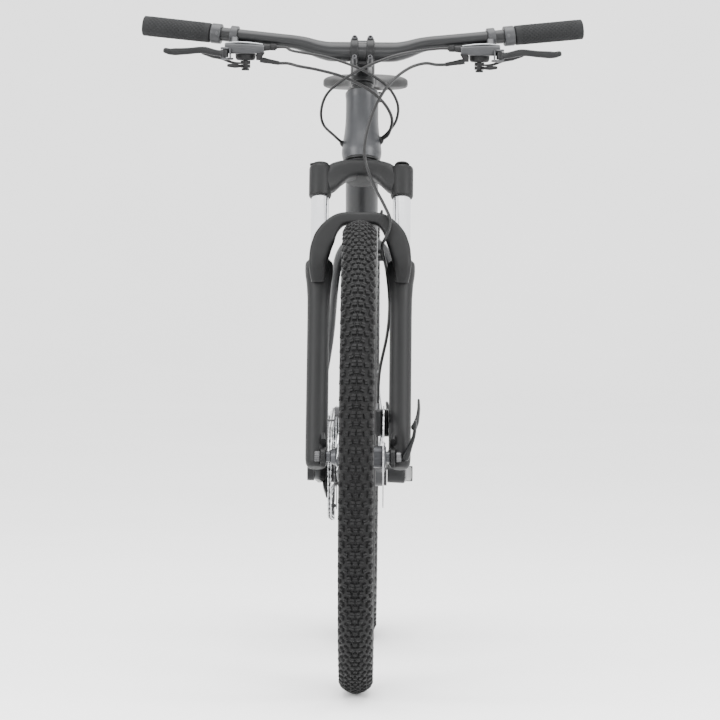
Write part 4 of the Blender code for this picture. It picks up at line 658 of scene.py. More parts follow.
for end, axle, sides_ in (("front", FRONT_AXLE, (0.020, -0.031)),
                          ("rear", REAR_AXLE, (0.033, -0.021))):
    body = end + "_wheel"
    piece(end + "_rim_hoop", rim(axle), black_alloy, body, end + "_rim", 30)
    wires, nipples = spokes(axle, *sides_)
    piece(end + "_spokes", wires, silver, body)
    piece(end + "_spoke_nipples", nipples, silver, body)
    shell = turn(hub(end), axle, SIDE, 64)
    hub_piece = piece(end + "_hub_shell", shell, hub_silver, body, end + "_hub_and_spokes", 28)
print("rotor planes:", round(float(FRONT_ROTOR), 4), round(float(REAR_ROTOR), 4))

# %% [markdown]
# A brake disc is cut from steel sheet: a wavy outer edge, a band with rows of small
# holes, and slanted arms to the carrier. Cutting holes from a flat grid would tear
# it, so the band is a grid in which each hole is ringed by its own cell.


# %% Brake discs
def pierced_band(centre, x, thick, rows, cells, hole):
    """A flat band of square cells, each with a round hole: in a cell the point at
    (corner angle, t) slides from the hole's circle to the cell's edge."""
    k = np.arange(16) * np.pi / 8 + np.pi / 16
    square = np.stack([np.cos(k), np.sin(k)], -1)
    square /= np.abs(square).max(1)[:, None]
    square[:, :] = np.clip(square * 1.0, -1, 1)
    near = np.stack([np.cos(k), np.sin(k)], -1)
    parts = []
    for j, (r0, r1, shift) in enumerate(rows):
        angle = (np.arange(cells) + shift) * 2 * np.pi / cells
        mid, dr, da = (r0 + r1) / 2, (r1 - r0) / 2, np.pi / cells
        edge_r = mid + square[:, 1] * dr
        edge_a = square[:, 0] * da
        hole_r = mid + near[:, 1] * hole
        hole_a = near[:, 0] * hole / mid
        rings = []
        for rr, aa, z in ((edge_r, edge_a, 1), (hole_r, hole_a, 1), (hole_r, hole_a, -1),
                          (edge_r, edge_a, -1)):
            th = angle[:, None] + aa[None]
            rings.append(np.stack([np.full_like(th, x + z * thick / 2), rr[None] * np.cos(th),
                                   rr[None] * np.sin(th)], -1))
        grid = np.stack(rings, 1)
        faces = grid_faces(4, 16)
        step = np.arange(cells)[:, None, None] * 64
        parts.append((grid.reshape(-1, 3) + np.array((centre[0], centre[1], centre[2])),
                      (faces[None] + step).reshape(-1, 4)))
    return parts


def brake_disc(centre, x):
    """The band, its wavy edge, ten slanted arms and the carrier ring."""
    parts = pierced_band(centre, x, 0.0018, [(0.0665, 0.0710, 0.0), (0.0710, 0.0755, 0.5)], 60,
                         0.0013)
    at = centre + SIDE * x
    parts.append(disc(lambda a: 0.0784 + 0.0014 * np.cos(a * 20), 0.0755, 0.0018, at, SIDE, 240))
    parts.append(disc(0.0665, lambda a: 0.0640 + 0.0009 * np.cos(a * 20), 0.0018, at, SIDE, 240))
    for k in range(10):
        t0, t1 = 2 * np.pi * k / 10, 2 * np.pi * k / 10 + 0.62
        a = at + 0.0235 * np.array((0, math.cos(t0), math.sin(t0)))
        b = at + 0.0655 * np.array((0, math.cos(t1), math.sin(t1)))
        middle = (a + b) / 2 + (b - a)[[0, 2, 1]] * np.array((0, -0.06, 0.06))
        way = curve([a, middle, b], 12)
        parts.append(carry(way, 0.00085, [0.0042, 0.0028, 0.0026, 0.0034],
                           up=np.cross(b - a, SIDE),
                           power=6, sides=12))
    parts.append(disc(lambda a: 0.0250 + 0.0012 * np.cos(a * 6), 0.0176, 0.0026, at, SIDE, 120,
                      0.0003))
    bolts = []
    for k in range(6):
        t = 2 * np.pi * k / 6
        foot = at + 0.0215 * np.array((0, math.cos(t), math.sin(t)))
        bolts.append(rod(foot + SIDE * 0.0009, foot + SIDE * 0.0030, 0.0036, 0.0033, steps=20))
    return parts, bolts


for end, axle, x in (("front", FRONT_AXLE, FRONT_ROTOR), ("rear", REAR_AXLE, REAR_ROTOR)):
    parts, bolts = brake_disc(axle, x)
    piece(end + "_disc", parts, disc_steel, end + "_wheel", end + "_brake_disc", 30)
    piece(end + "_disc_bolts", bolts, steel, end + "_wheel")
print("discs made")

# %% [markdown]
# ## Fork
# A suspension fork has a forged crown with two chromed stanchions, and a one-piece
# lower casting that slides on them. Its arch ties the legs together in front of the
# tyre. Everything here lies in the steering axis's own directions, so a small helper
# turns local millimetres into places.


# %% Places on the fork and the bars
def steer(x, y, z):
    """A point from the crown race: x to the side, y behind, z up the steerer."""
    return CROWN + (SIDE * x + BACK * y + UP * z) / 1000.0


FORK_L = (CROWN - FRONT_AXLE).dot(UP) * 1000
RAKE = (CROWN - FRONT_AXLE).dot(BACK) * 1000


def leg(side, up, x=65.0, y=-28.0):
    """A point on a leg's middle line, up from the axle."""
    return steer(side * x, y, up - FORK_L)


print("fork length", round(FORK_L, 1), "rake", round(RAKE, 1))

# %% Crown, stanchions and knobs
crown_path = [(-60, -43), (-50, -38.5), (-41, -28.5), (-27, -20.5), (-12, -17), (0, -16.3)]
crown_path = crown_path + [(-x, z) for x, z in reversed(crown_path[:-1])]
path = curve([steer(x, -14 - 12 * (abs(x) / 60) ** 2, z) for x, z in crown_path], 40)
crown_high = np.array([0.0225, 0.0185, 0.0190, 0.0165, 0.0150, 0.0145])
crown = carry(path, 0.0168, np.concatenate([crown_high, crown_high[:-1][::-1]]), up=UP,
              power=3.4, sides=40)
collars = [turn(rounded(np.array([(14.2, 0), (16.5, 0), (18, 3), (18, 48.5), (16.8, 52), (0, 52)])
                        / 1000, 0.0012), leg(s, 438), UP, 56) for s in (-1, 1)]
race = turn(rounded(np.array([(0, -31.5), (25.0, -31.5), (25.5, -8), (27.4, -3.2), (27.4, -0.4),
                              (0, -0.4)]) / 1000, 0.001), CROWN, UP, 64)
piece("fork_crown", [crown, race] + collars, fork_paint, "steering", "crown_steerer", 35)
spacer = [turn(rounded(np.array([(0, a), (17.1, a), (17.5, a + 0.8), (17.5, b - 0.8), (17.1, b),
                                 (0, b)]) / 1000, 0.0004), CROWN, UP, 48)
          for a, b in ((124.4, 129.4), (129.8, 134.6))]
piece("steerer_spacers", spacer, black_alloy, "steering")
for side, name in ((1, "left"), (-1, "right")):
    tube = turn(rounded([(0, 0), (0.0132, 0), (0.014, 0.001), (0.014, 0.3155), (0, 0.3155)],
                        0.0004),
                leg(side, 170.2), UP, 64)
    piece("stanchion_tube_" + name, tube, chrome, "steering", "stanchion_" + name)
knob_low = leg(1, 490.4)
knob = disc(lambda a: 0.0130 + 0.0004 * np.cos(a * 24), 0.0, 0.0042, knob_low + UP * 0.0021, UP,
            240, 0.0006)
dome = turn(rounded(np.array([(0, 3.9), (12.0, 3.9), (11.6, 5.4), (9.4, 7.4), (4.0, 8.3),
                              (0, 8.4)])
                    / 1000, 0.0008), knob_low, UP, 56)
piece("preload_dial", [knob, dome], black_plastic, "preload_knob", "preload_knob")
cap = leg(-1, 490.4)
dial = [turn(rounded(np.array([(0, 0), (13.2, 0), (13.4, 0.8), (13.4, 3.8), (12.4, 4.9), (0, 5.0)])
                     / 1000, 0.0005), cap, UP, 64)]
dial.append(carry([cap + UP * 0.0033 - SIDE * 0.002, cap + UP * 0.0033 - SIDE * 0.013,
                   cap + UP * 0.0033 - SIDE * 0.0155], [0.0085, 0.0070, 0.0056], 0.0017, up=UP,
                  power=2.6, sides=32, ends="round"))
dial.append(rod(cap + UP * 0.0046, cap + UP * 0.0050 + UP * 0.0002, 0.0042, steps=32,
                bevel=0.0001))
piece("lockout_dial", dial, black_plastic, "lockout_lever", "lockout_lever")
print("crown, stanchions and knobs made")

# %% [markdown]
# The lower casting is cast in one piece. Each leg is a turned shape that swells
# under its dust seal. The arch is a flattened section carried over the tyre along a
# smooth line, thick where it meets the legs and thin in the middle.

# %% Lower legs and arch
lowers = []
leg_profile = np.array([(0, -13), (9, -13), (13.5, -11.5), (16.4, -7), (17.4, 2), (17.5, 40),
                        (17.5, 236), (17.8, 268), (19.4, 292), (21.4, 305), (22.0, 313),
                        (22.0, 323),
                        (21.2, 327), (19.6, 328.2), (14.6, 328.2), (14.6, 322), (0, 322)]) / 1000
for side in (-1, 1):
    lowers.append(turn(rounded(leg_profile, 0.0012), leg(side, 0), UP, 72))
    inner = side * 50.4
    outer = side * 58.2
    lowers.append(rod(steer(inner, -RAKE, -FORK_L), steer(outer, -RAKE, -FORK_L), 0.0129,
                      steps=48, bevel=0.0008))
    lowers.append(carry([steer(side * 54.3, -44, 20 - FORK_L),
                         steer(side * 55.0, -38, 27 - FORK_L),
                         steer(side * 58, -30, 40 - FORK_L)], [0.0112, 0.012, 0.010],
                        [0.0039, 0.0039, 0.0060], up=SIDE, power=4, sides=28))
    lowers.append(block(steer(side * 54.3, -52, -8 - FORK_L), steer(side * 54.3, -30, 12 - FORK_L),
                        0.012, 0.0039, up=SIDE, power=5))
arch = [(-66.5, -42, 292), (-67, -48, 304), (-66, -54.6, 322), (-60.5, -56, 348), (-49, -56, 374),
        (-30, -56, 390.5), (0, -56, 392.5)]
arch = arch + [(-x, y, z) for x, y, z in reversed(arch[:-1])]
arch_line = curve([steer(x, y, z - FORK_L) for x, y, z in arch], 72)
half = np.array([10.5, 14.0, 16.6, 17.0, 13.0, 10.0, 9.2]) / 1000
deep = np.array([12.0, 11.0, 8.8, 8.0, 8.0, 7.8, 7.6]) / 1000
lowers.append(carry(arch_line, np.concatenate([half, half[:-1][::-1]]),
                    np.concatenate([deep, deep[:-1][::-1]]), up=BACK, power=3.6, sides=40))
mount = block(steer(53.3, -30, 50 - FORK_L), steer(53.3, 6, 64 - FORK_L), 0.0058, 0.017,
              up=UP, power=6)
lowers.append(mount)
piece("fork_casting", lowers, fork_paint, "fork_lowers", "fork_lowers", 34)
seals = [turn(rounded(np.array([(14.3, 0), (18.6, 0), (18.2, 2.4), (15.6, 4.6), (14.35, 5.0),
                                (14.3, 4.2)]) / 1000, 0.0005), leg(s, 328.0), UP, 64, loop=False)
         for s in (-1, 1)]
piece("fork_dust_seals", seals, cable_skin, "fork_lowers")
print("lower casting made")


# %% [markdown]
# ## Brakes
# Each caliper is a pair of forged halves that straddle the disc and are bolted
# together outside its edge, with a hose fitting on top. Rounded blocks with bolts
# give those shapes.


# %% Calipers
def caliper(axle, x, low, high, behind, name, body):
    """Two halves either side of the disc's plane, and the bridge outside its edge."""
    lx, hx = x - 0.0135, x + 0.0073
    y0, y1, z0, z1 = low[0] / 1000, high[0] / 1000, low[1] / 1000, high[1] / 1000
    mid_z = (z0 + z1) / 2
    hz = (z1 - z0) / 2
    at = lambda px, py, pz: np.array((px, axle[1] + py, axle[2] + pz))
    parts = []
    for a, b in ((lx, x - 0.0017), (x + 0.0017, hx)):
        parts.append(block(at((a + b) / 2, y0 + 0.0005, mid_z),
                           at((a + b) / 2, y1 - 0.0005, mid_z),
                           (b - a) / 2, hz, power=5, bevel=0.003))
    if behind:
        parts.append(block(at((lx + hx) / 2, y0 + 0.0005, mid_z),
                           at((lx + hx) / 2, y0 + 0.0062, mid_z),
                           (hx - lx) / 2 - 0.0004, hz - 0.001, power=5))
    else:
        parts.append(block(at((lx + hx) / 2, y0 + 0.008, z1 - 0.0034),
                           at((lx + hx) / 2, y1 - 0.001, z1 - 0.0034),
                           (hx - lx) / 2 - 0.0004, 0.0032, power=5))
        parts.append(block(at((lx + hx) / 2, y1 - 0.0064, mid_z),
                           at((lx + hx) / 2, y1 - 0.0006, mid_z),
                           (hx - lx) / 2 - 0.0004, hz - 0.001, power=5))
    barrel = at(lx + 0.0008, (y0 + y1) / 2, mid_z)
    parts.append(rod(barrel, barrel - SIDE * 0.0002 + SIDE * 0.004, 0.0118, steps=40))
    made = piece(name, parts, black_alloy, body, name_of[name], 35)
    bolts = [rod(at(hx - 0.001, yy, mid_z + zz), at(hx + 0.0004, yy, mid_z + zz), 0.0034, steps=18)
             for yy, zz in ((y0 + 0.006, hz * 0.6), (y1 - 0.006, -hz * 0.6))]
    top = at(x - 0.0095, y1 - 0.008, z1 - 0.004)
    bolts.append(rod(top, top + np.array((0, 0, 0.0128)), 0.0034, 0.0030, steps=24))
    bolts.append(disc(lambda a: 0.0052 + 0.0004 * np.cos(a * 6), 0.0, 0.0036,
                      top + np.array((0, 0, 0.0062)), (0.0, 0.001, 1.0), 48, 0.0004))
    piece(name + "_bolts", bolts, steel, body)


name_of = {"front_caliper": "front_brake_caliper", "rear_caliper": "rear_brake_caliper"}
caliper(FRONT_AXLE, FRONT_ROTOR, (50, 30), (86, 72), False, "front_caliper", "fork_lowers")
caliper(REAR_AXLE, REAR_ROTOR, (-92, -10), (-52, 14), True, "rear_caliper", "frame")


# %% [markdown]
# A quick-release skewer clamps each wheel with a cam. Its nut and its cam housing
# stay still, and its lever turns about the axle's line.


# %% Skewers and their levers
def skewer(axle, half, name, body, node):
    """The ribbed nut on the right and the cam housing on the left."""
    half = half / 1000
    nut = disc(lambda a: 0.0082 + 0.0003 * np.cos(a * 16), 0.0, 0.0086,
               axle - SIDE * (half + 0.0047), SIDE, 160, 0.001)
    cone = rod(axle - SIDE * (half + 0.0088), axle - SIDE * (half + 0.0004), 0.0060, 0.0078)
    cam = rod(axle + SIDE * (half + 0.0004), axle + SIDE * (half + 0.0092), 0.0084, 0.0078,
              bevel=0.0014, steps=40)
    made = piece(name, [nut, cone, cam], steel, body, node, 30)


skewer(FRONT_AXLE, 58.6, "front_axle_clamp", "fork_lowers", "front_skewer")
skewer(REAR_AXLE, 74.6, "rear_axle_clamp", "frame", "rear_skewer")


def thumb_lever(start, points, name, body, node, wide, thin, up):
    """A forged lever: a flattened section carried along its curve, round at its tip."""
    line = curve([start + np.array(p) / 1000 for p in points], 26)
    arm = carry(line, np.array(wide) / 1000, np.array(thin) / 1000, up=up, power=2.8, sides=28,
                ends="round")
    made = piece(name, [arm], black_alloy, body, node, 40)


lever_root = FRONT_AXLE + SIDE * (50.3 + 8 + 0.3 + 9 + 6.5) / 1000
thumb_lever(lever_root, [(0, 0, 0), (6, -2, 14), (13, -5, 34), (15, -6, 56)], "front_cam_lever",
            "front_lever", "front_quick_release_lever", [6.6, 6.2, 5.6, 6.4, 6.6, 5.0],
            [6.2, 4.6, 3.2, 2.8, 2.6, 2.2], (1.0, 0.0, 0.3))
lever_root = REAR_AXLE + SIDE * (67.5 + 0.3 + 6.5 + 9 + 6.9 + 0.3) / 1000
thumb_lever(lever_root, [(0, 0, 0), (5, 8, 12), (8, 22, 30), (8, 36, 46)], "rear_cam_lever",
            "rear_lever", "rear_quick_release_lever", [5.4, 6.0, 5.6, 6.4, 6.6, 5.0],
            [5.4, 4.4, 3.2, 2.8, 2.6, 2.2], (1.0, 0.0, 0.2))
print("brakes and skewers made")

# %% [markdown]
# ## Frame
# The frame is welded from drawn aluminium tubes. Each tube is a section carried
# along its middle line, and where two tubes meet a rippled bead of weld runs round
# the join. The bead's line is worked out exactly: it is where one tube's surface
# lines reach the other tube.


# %% Places on the frame
def norm(v):
    """A direction of length one."""
    return v / np.linalg.norm(v)


SEAT_TOP = BB + SEAT_UP * 0.460
HEAD_JOIN = CROWN + UP * 0.050
DOWN_BEND = CROWN + UP * 0.038 + BACK * 0.076
TOP_FRONT = CROWN + UP * 0.097
TOP_REAR = SEAT_TOP - SEAT_UP * 0.032
STAY_JOIN = SEAT_TOP - SEAT_UP * 0.052
SEAT_BACK = np.cross(SEAT_UP, SIDE)
DROP_X = 71.05


def seat(x, y, z):
    """A point from the bottom bracket: x to the side, y behind, z up the seat tube."""
    return BB + (SIDE * x + SEAT_BACK * y + SEAT_UP * z) / 1000.0


def weld(start, way, r, at, axis, radius, size=0.0020):
    """A rippled bead: each line of a tube of radius r along way is followed to where its
    distance from the other tube's axis equals that tube's radius."""
    way, axis = norm(np.asarray(way, float)), norm(np.asarray(axis, float))
    one = norm(np.cross(way, axis))
    two = np.cross(way, one)
    a = np.linspace(0, 2 * np.pi, 96, endpoint=False)
    p = start + r * (np.cos(a)[:, None] * one + np.sin(a)[:, None] * two) - at
    flat = p - (p @ axis)[:, None] * axis
    d = way - way.dot(axis) * axis
    qa, qb, qc = d @ d, 2 * flat @ d, (flat * flat).sum(1) - radius ** 2
    t = (-qb + np.sqrt(np.maximum(qb ** 2 - 4 * qa * qc, 0))) / (2 * qa)
    line = p + at + t[:, None] * way
    ripple = size * (1 + 0.16 * np.cos(a * 32))
    centre = line.mean(0)
    return carry(line, ripple, ripple * 0.8, up=norm(way + 0.01), sides=10, closed=True)


# %% Main tubes
head_line = np.array([(29.3, 4.2), (30.6, 9), (31.9, 17), (30.9, 30), (28.2, 50), (26.5, 70),
                      (26.2, 92),
                      (26.3, 108), (27.0, 114), (27.2, 118.8)]) / 1000
head_line = curve(head_line, 40)
head = turn(np.vstack([[(0.0203, 0.0042)], head_line, [(0.0203, 0.1188)]]), CROWN, UP, 96)
piece("head_tube", [head], head_paint, "frame", "frame", 40)
down_way = norm(BB - DOWN_BEND)
down = curve([HEAD_JOIN, DOWN_BEND, DOWN_BEND + (BB - DOWN_BEND) * 0.2,
              DOWN_BEND + (BB - DOWN_BEND) * 0.6, BB], 60)
tubes = [carry(down, [0.0262, 0.0264, 0.0264, 0.0256, 0.0250, 0.0243],
               [0.0262, 0.0264, 0.0262, 0.0254, 0.0248, 0.0243], up=SIDE, power=2.35, sides=56)]
top_line = TOP_FRONT + (TOP_REAR - TOP_FRONT) * np.linspace(0, 1, 30)[:, None]
tubes.append(carry(top_line, [0.0184, 0.0183, 0.0172, 0.0162], [0.0184, 0.0176, 0.0164, 0.0160],
                   up=SIDE, power=2.2, sides=56))
wall = np.array([(15.9, 0), (18.0, 0), (18.0, 459.4), (17.6, 460), (15.9, 460), (15.9, 0)]) / 1000
tubes.append(turn(wall, BB, SEAT_UP, 64))
shell = np.array([(17.6, -36.4), (21.4, -36.4), (22.0, -35.6), (22.0, 35.6), (21.4, 36.4),
                  (17.6, 36.4),
                  (17.6, -36.4)]) / 1000
tubes.append(turn(shell, BB, SIDE, 72))
main = piece("main_tubes", tubes, frame_paint, "frame", (), 38)
beads = [weld(HEAD_JOIN, norm(DOWN_BEND - HEAD_JOIN), 0.0264, CROWN, UP, 0.0287),
         weld(TOP_FRONT, TOP_REAR - TOP_FRONT, 0.0184, CROWN, UP, 0.0262),
         weld(TOP_REAR, TOP_FRONT - TOP_REAR, 0.0162, BB, SEAT_UP, 0.0179),
         weld(BB, -down_way, 0.0245, BB, SIDE, 0.0219),
         weld(BB, SEAT_UP, 0.0180, BB, SIDE, 0.0219)]
piece("weld_beads", beads, frame_paint, "frame", (), 60)
print("main tubes and welds made")


# %% [markdown]
# Two slim stays on each side hold the rear wheel. They curve out past the tyre and
# end in flat dropouts, which are outlines given a thickness with softened edges.


# %% Stays, dropouts and small fittings
def slab(outline, thick, origin, u, v, bevel=0.0007, count=72):
    """A flat plate: rings of one outline, drawn in at both faces, closed at its middle."""
    o = np.asarray(outline, float) / 1000
    loop = curve(np.vstack([o, o[:1]]), count + 1)[:-1]
    middle = loop.mean(0)
    inward = middle - loop
    inward /= np.linalg.norm(inward, axis=1)[:, None]
    n = norm(np.cross(u, v))
    rings = []
    for pull, z in ((None, -thick / 2), (bevel, -thick / 2), (0, -thick / 2 + bevel),
                    (0, thick / 2 - bevel), (bevel, thick / 2), (None, thick / 2)):
        flat = np.repeat(middle[None], count, 0) if pull is None else loop + inward * pull
        rings.append(origin + flat[:, :1] * u + flat[:, 1:] * v + n * z)
    return np.stack(rings).reshape(-1, 3), grid_faces(6, count)


def millimetres(points):
    """Given points in millimetres, as metres."""
    return [np.asarray(p, float) / 1000 for p in points]


by, bz = BB[1] * 1000, BB[2] * 1000
ry, rz = REAR_AXLE[1] * 1000, REAR_AXLE[2] * 1000
sj = STAY_JOIN * 1000
stays = []
for s in (-1, 1):
    low = curve(millimetres([(s * 20, by + 8, bz), (s * 33.5, by + 46, bz + 5),
                             (s * 40.5, by + 92, bz + 12),
                 (s * 53, by + 200, bz + 28), (s * (DROP_X - 1.5), ry - 110, bz + 46),
                 (s * DROP_X, ry - 18, rz - 5)]), 60)
    stays.append(carry(low, [0.0080, 0.0078, 0.0072, 0.0072, 0.0074, 0.0066, 0.0042],
                       [0.0090, 0.0086, 0.0078, 0.0076, 0.0076, 0.0072, 0.0062], power=2.5,
                       sides=32))
    high = curve(millimetres([(s * 10, sj[1] - 4, sj[2] + 4), (s * 34, sj[1] + 26, sj[2] - 14),
                  (s * 47, sj[1] + 60, sj[2] - 54), (s * 57, sj[1] + 160, sj[2] - 160),
                  (s * DROP_X, ry - 60, rz + 74), (s * DROP_X, ry - 10, rz + 20)]), 60)
    stays.append(carry(high, [0.0088, 0.0078, 0.0068, 0.0068, 0.0068, 0.0062, 0.0040],
                       [0.0088, 0.0080, 0.0072, 0.0072, 0.0072, 0.0068, 0.0058], power=2.4,
                       sides=32))
    outline = [(-34, -11), (-10, -19.5), (11, -19.5), (17.5, -4), (13.5, 15.5), (-4, 33),
               (-17, 31.5),
               (-15, 12)]
    if s < 0:
        outline = [(-34, -11), (-7, -20), (-4.5, -40), (4, -45.5), (13.5, -43), (17.5, -20),
                   (19.5, -4), (13.5, 15.5), (-4, 33), (-17, 31.5), (-15, 12)]
    stays.append(slab(outline, 0.0064, REAR_AXLE + SIDE * s * DROP_X / 1000,
                      np.array((0.0, 1, 0)), np.array((0.0, 0, 1)), 0.0010))
bridge_y = (ry - 370 - 16) / 1000
stays.append(rod((-0.041, bridge_y, (bz + 9) / 1000), (0.041, bridge_y, (bz + 9) / 1000), 0.0069))
bridge = STAY_JOIN + vec(0, 50, -28)
stays.append(rod(bridge - SIDE * 0.042, bridge + SIDE * 0.042, 0.0059))
stays.append(block((REAR_ROTOR + 0.0133, (ry - 91) / 1000, (rz + 2) / 1000),
                   (REAR_ROTOR + 0.0133, (ry - 49) / 1000, (rz + 2) / 1000), 0.0056, 0.0132,
                   power=5))
piece("stays_and_dropouts", stays, frame_paint, "frame", (), 38)
PORT_WAY = norm(np.array((0.62, -0.55, 0.56)))
PORT_A = CROWN + UP * 0.039 + vec(33, -8, 2)
PORT_B = CROWN + UP * 0.044 + vec(32, 9, 0)
PORT_C = CROWN + UP * 0.036 + vec(-33, -6, 0)
fittings = []
for s, at in ((1, PORT_A), (1, PORT_B), (-1, PORT_C)):
    way = PORT_WAY * (s, 1, 1)
    fittings.append(rod(at - way * 0.016, at - way * 0.003, 0.0054, 0.0050, bevel=0.0008))
    fittings.append(rod(at - way * 0.0034, at, 0.0042, 0.0036, bevel=0.0006))
TAIL_BRAKE = vec(DROP_X - 13, ry - 128, bz + 51)
TAIL_SHIFT = vec(-DROP_X - 11, ry - 96, bz + 44)
fittings.append(rod(TAIL_BRAKE - vec(-8, 22, 8), TAIL_BRAKE, 0.0050, 0.0039, bevel=0.0008))
fittings.append(rod(TAIL_SHIFT - vec(-9, 22, 1), TAIL_SHIFT, 0.0050, 0.0035, bevel=0.0008))
piece("cable_ports", fittings, black_plastic, "frame")
out = norm(np.cross(SIDE, down_way))
out = -out if out[2] < 0 else out
bosses = []
for share in (0.42, 0.53):
    foot = DOWN_BEND + (BB - DOWN_BEND) * share
    bosses.append(rod(foot + out * 0.0230, foot + out * 0.0281, 0.0066, 0.0060, bevel=0.0006))
    bosses.append(turn(rounded(np.array([(0, 28.4), (2.0, 28.4), (2.2, 28.9), (4.2, 28.9),
                                         (4.2, 28.2)])
                               / 1000, 0.0002), foot, out, 32))
piece("bottle_bosses", bosses, steel, "frame")
print("stays and fittings made")

# %% Headset, bottom bracket and seat collar
lower = np.array([(14.9, 0.2), (29.3, 0.2), (29.5, 0.8), (29.5, 3.4), (29.2, 3.9),
                  (14.9, 3.9)]) / 1000
upper = np.array([(14.9, 119.3), (25.3, 119.3), (25.5, 120.2), (25.2, 122), (20.8, 123.9),
                  (14.9, 124)]) / 1000
piece("headset_lower", turn(rounded(lower, 0.0004), CROWN, UP, 72), black_alloy, "frame",
              "headset_cup_lower")
piece("headset_upper", turn(rounded(upper, 0.0005), CROWN, UP, 72), black_alloy, "frame",
              "headset_cup_upper")
cups = [disc(lambda a: 0.0203 + 0.0006 * np.sign(np.cos(a * 16)), 0.0125, 0.0066,
             BB + SIDE * s * 0.0403, SIDE, 256, 0.0006) for s in (-1, 1)]
piece("bracket_cups", cups, black_alloy, "frame", "bottom_bracket", 30)
ring = np.array([(18.2, 446), (21.0, 446), (21.5, 446.8), (21.5, 459.6), (21.0, 460.4),
                 (18.2, 460.4),
                 (18.2, 446)]) / 1000
collar = [turn(ring, BB, SEAT_UP, 64)]
for s in (-1, 1):
    collar.append(block(seat(s * 4.5, 18, 453.4), seat(s * 4.5, 31.5, 453.4), 0.0036, 0.0064,
                        up=SEAT_UP, power=4))
piece("seat_clamp", collar, black_alloy, "frame", "seat_collar", 35)
piece("seat_clamp_bolt", rod(seat(-12.8, 26, 453), seat(13.5, 26, 453), 0.0031, steps=24),
              steel, "frame")
pivot = seat(16.0, 26.0, 453.0)
lever_points = [(5, 1, 0), (9, -12, 0), (13, -26, 1), (15, -46, 2)]
line = curve([pivot + (SIDE * x + SEAT_BACK * y + SEAT_UP * z) / 1000 for x, y, z in lever_points],
             26)
arm = carry(line, np.array([2.2, 2.8, 2.8, 2.8, 2.6, 2.2]) / 1000,
            np.array([4.4, 5.0, 5.2, 5.4, 5.4, 4.0]) / 1000, up=SEAT_UP, power=2.8, sides=28,
            ends="round")
piece("seat_cam_lever", arm, black_alloy, "seat_lever", "seat_quick_release_lever", 40)
print("headset, bracket and collar made")

# %% [markdown]
# ## Saddle
# A saddle is a padded shell, so its surface is lofted: at each step from nose to
# tail there is an arch as wide as the saddle is there. Its middle has a shallow
# channel, its sides turn down and under, and the cover's edge is drawn beneath.

# %% Saddle
POST_TOP = SEAT_TOP + SEAT_UP * ((0.947 - SEAT_TOP[2]) / SEAT_UP[2])
SADDLE_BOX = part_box("saddle")
print("saddle box:", [tuple(round(float(c), 4) for c in corner) for corner in SADDLE_BOX])


def saddle_shell():
    """At share t along and angle a round: x is half width times a flattened cosine,
    z rises by a flattened sine over a shallow channel and a slow wave fore and aft."""
    t = np.linspace(0, 1, 110)
    y = SADDLE_BOX[0][1] + 0.0015 + (SADDLE_BOX[1][1] - SADDLE_BOX[0][1] - 0.003) * t
    known = [(0, 2), (0.012, 12.5), (0.05, 19), (0.13, 21.5), (0.26, 22.5), (0.40, 28), (0.56, 43),
             (0.70, 61), (0.82, 73), (0.90, 74.5), (0.955, 68), (0.985, 52), (1.0, 18)]
    half = np.interp(t, [k[0] for k in known], [k[1] for k in known]) / 1000
    soft = np.convolve(np.pad(half, 3, mode="edge"), np.ones(7) / 7, "valid")
    half = np.where((t > 0.04) & (t < 0.96), soft, half)
    top, low = SADDLE_BOX[1][2], SADDLE_BOX[0][2]
    crest = top - 0.0035 - 0.0045 * np.sin(np.pi * np.clip(t / 0.85, 0, 1)) ** 2 \
        - 0.009 * np.clip((0.08 - t) / 0.08, 0, 1) ** 2 + 0.0030 * np.clip((t - 0.6) / 0.3, 0, 1)
    crest = np.where(t > 0.965, crest - 0.010 * ((t - 0.965) / 0.035) ** 2, crest)
    deep = np.minimum(crest - low - 0.002, 0.030 + 0 * t)
    a = np.linspace(0, 2 * np.pi, 72, endpoint=False)
    c, s = np.cos(a), np.sin(a)
    over = s >= 0
    across = np.sign(c) * np.abs(c) ** np.where(over, 0.80, 0.55)
    x = half[:, None] * across[None]
    rise = np.where(over, np.abs(s) ** 0.62, -np.abs(s) ** 0.5)
    channel = 0.0042 * np.exp(-(x / 0.0085) ** 2) * (over & (np.abs(s) > 0.3))[None] \
        * np.clip((t - 0.22) / 0.12, 0, 1)[:, None] * np.clip((0.92 - t) / 0.1, 0, 1)[:, None]
    z = np.where(rise[None] >= 0, (crest - deep * 0.55)[:, None] + rise[None] * deep[:,
                                                                                     None] * 0.55,
                 (crest - deep * 0.55)[:, None] + rise[None] * deep[:, None] * 0.42) - channel
    grid = np.stack([x, np.repeat(y[:, None], 72, 1), z], -1)
    front = np.repeat(grid[:1].mean(1, keepdims=True), 72, 1)
    rear = np.repeat(grid[-1:].mean(1, keepdims=True), 72, 1)
    grid = np.concatenate([front, grid, rear])
    return grid.reshape(-1, 3), grid_faces(len(grid), 72)


saddle_top = piece("saddle_cover", saddle_shell(), saddle_cover, "seatpost", "saddle", 60)
smooth = saddle_top.modifiers.new("smooth", "SUBSURF")
smooth.levels = smooth.render_levels = 1
y, z = POST_TOP[1] * 1000, POST_TOP[2] * 1000 + 5.0
rail = [(23, y + 102, z + 5.6), (23, y + 74, z + 2), (22, y + 40, z), (22, y, z), (22, y - 40, z),
        (18, y - 76, z + 1), (11, y - 104, z + 4.5), (6, y - 118, z + 5)]
rail = rail + [(-p[0], p[1], p[2]) for p in reversed(rail)]
piece("saddle_rail_wire", hose(curve(millimetres(rail), 120), 0.0034, 20), steel,
              "seatpost",
              "saddle_rails")
post = [turn(rounded(np.array([(13.2, 355), (15.4, 355), (15.5, 356), (15.5, 655),
                               (0, 655)]) / 1000, 0.0003),
             BB, SEAT_UP, 64)]
py, pz = POST_TOP[1], POST_TOP[2]
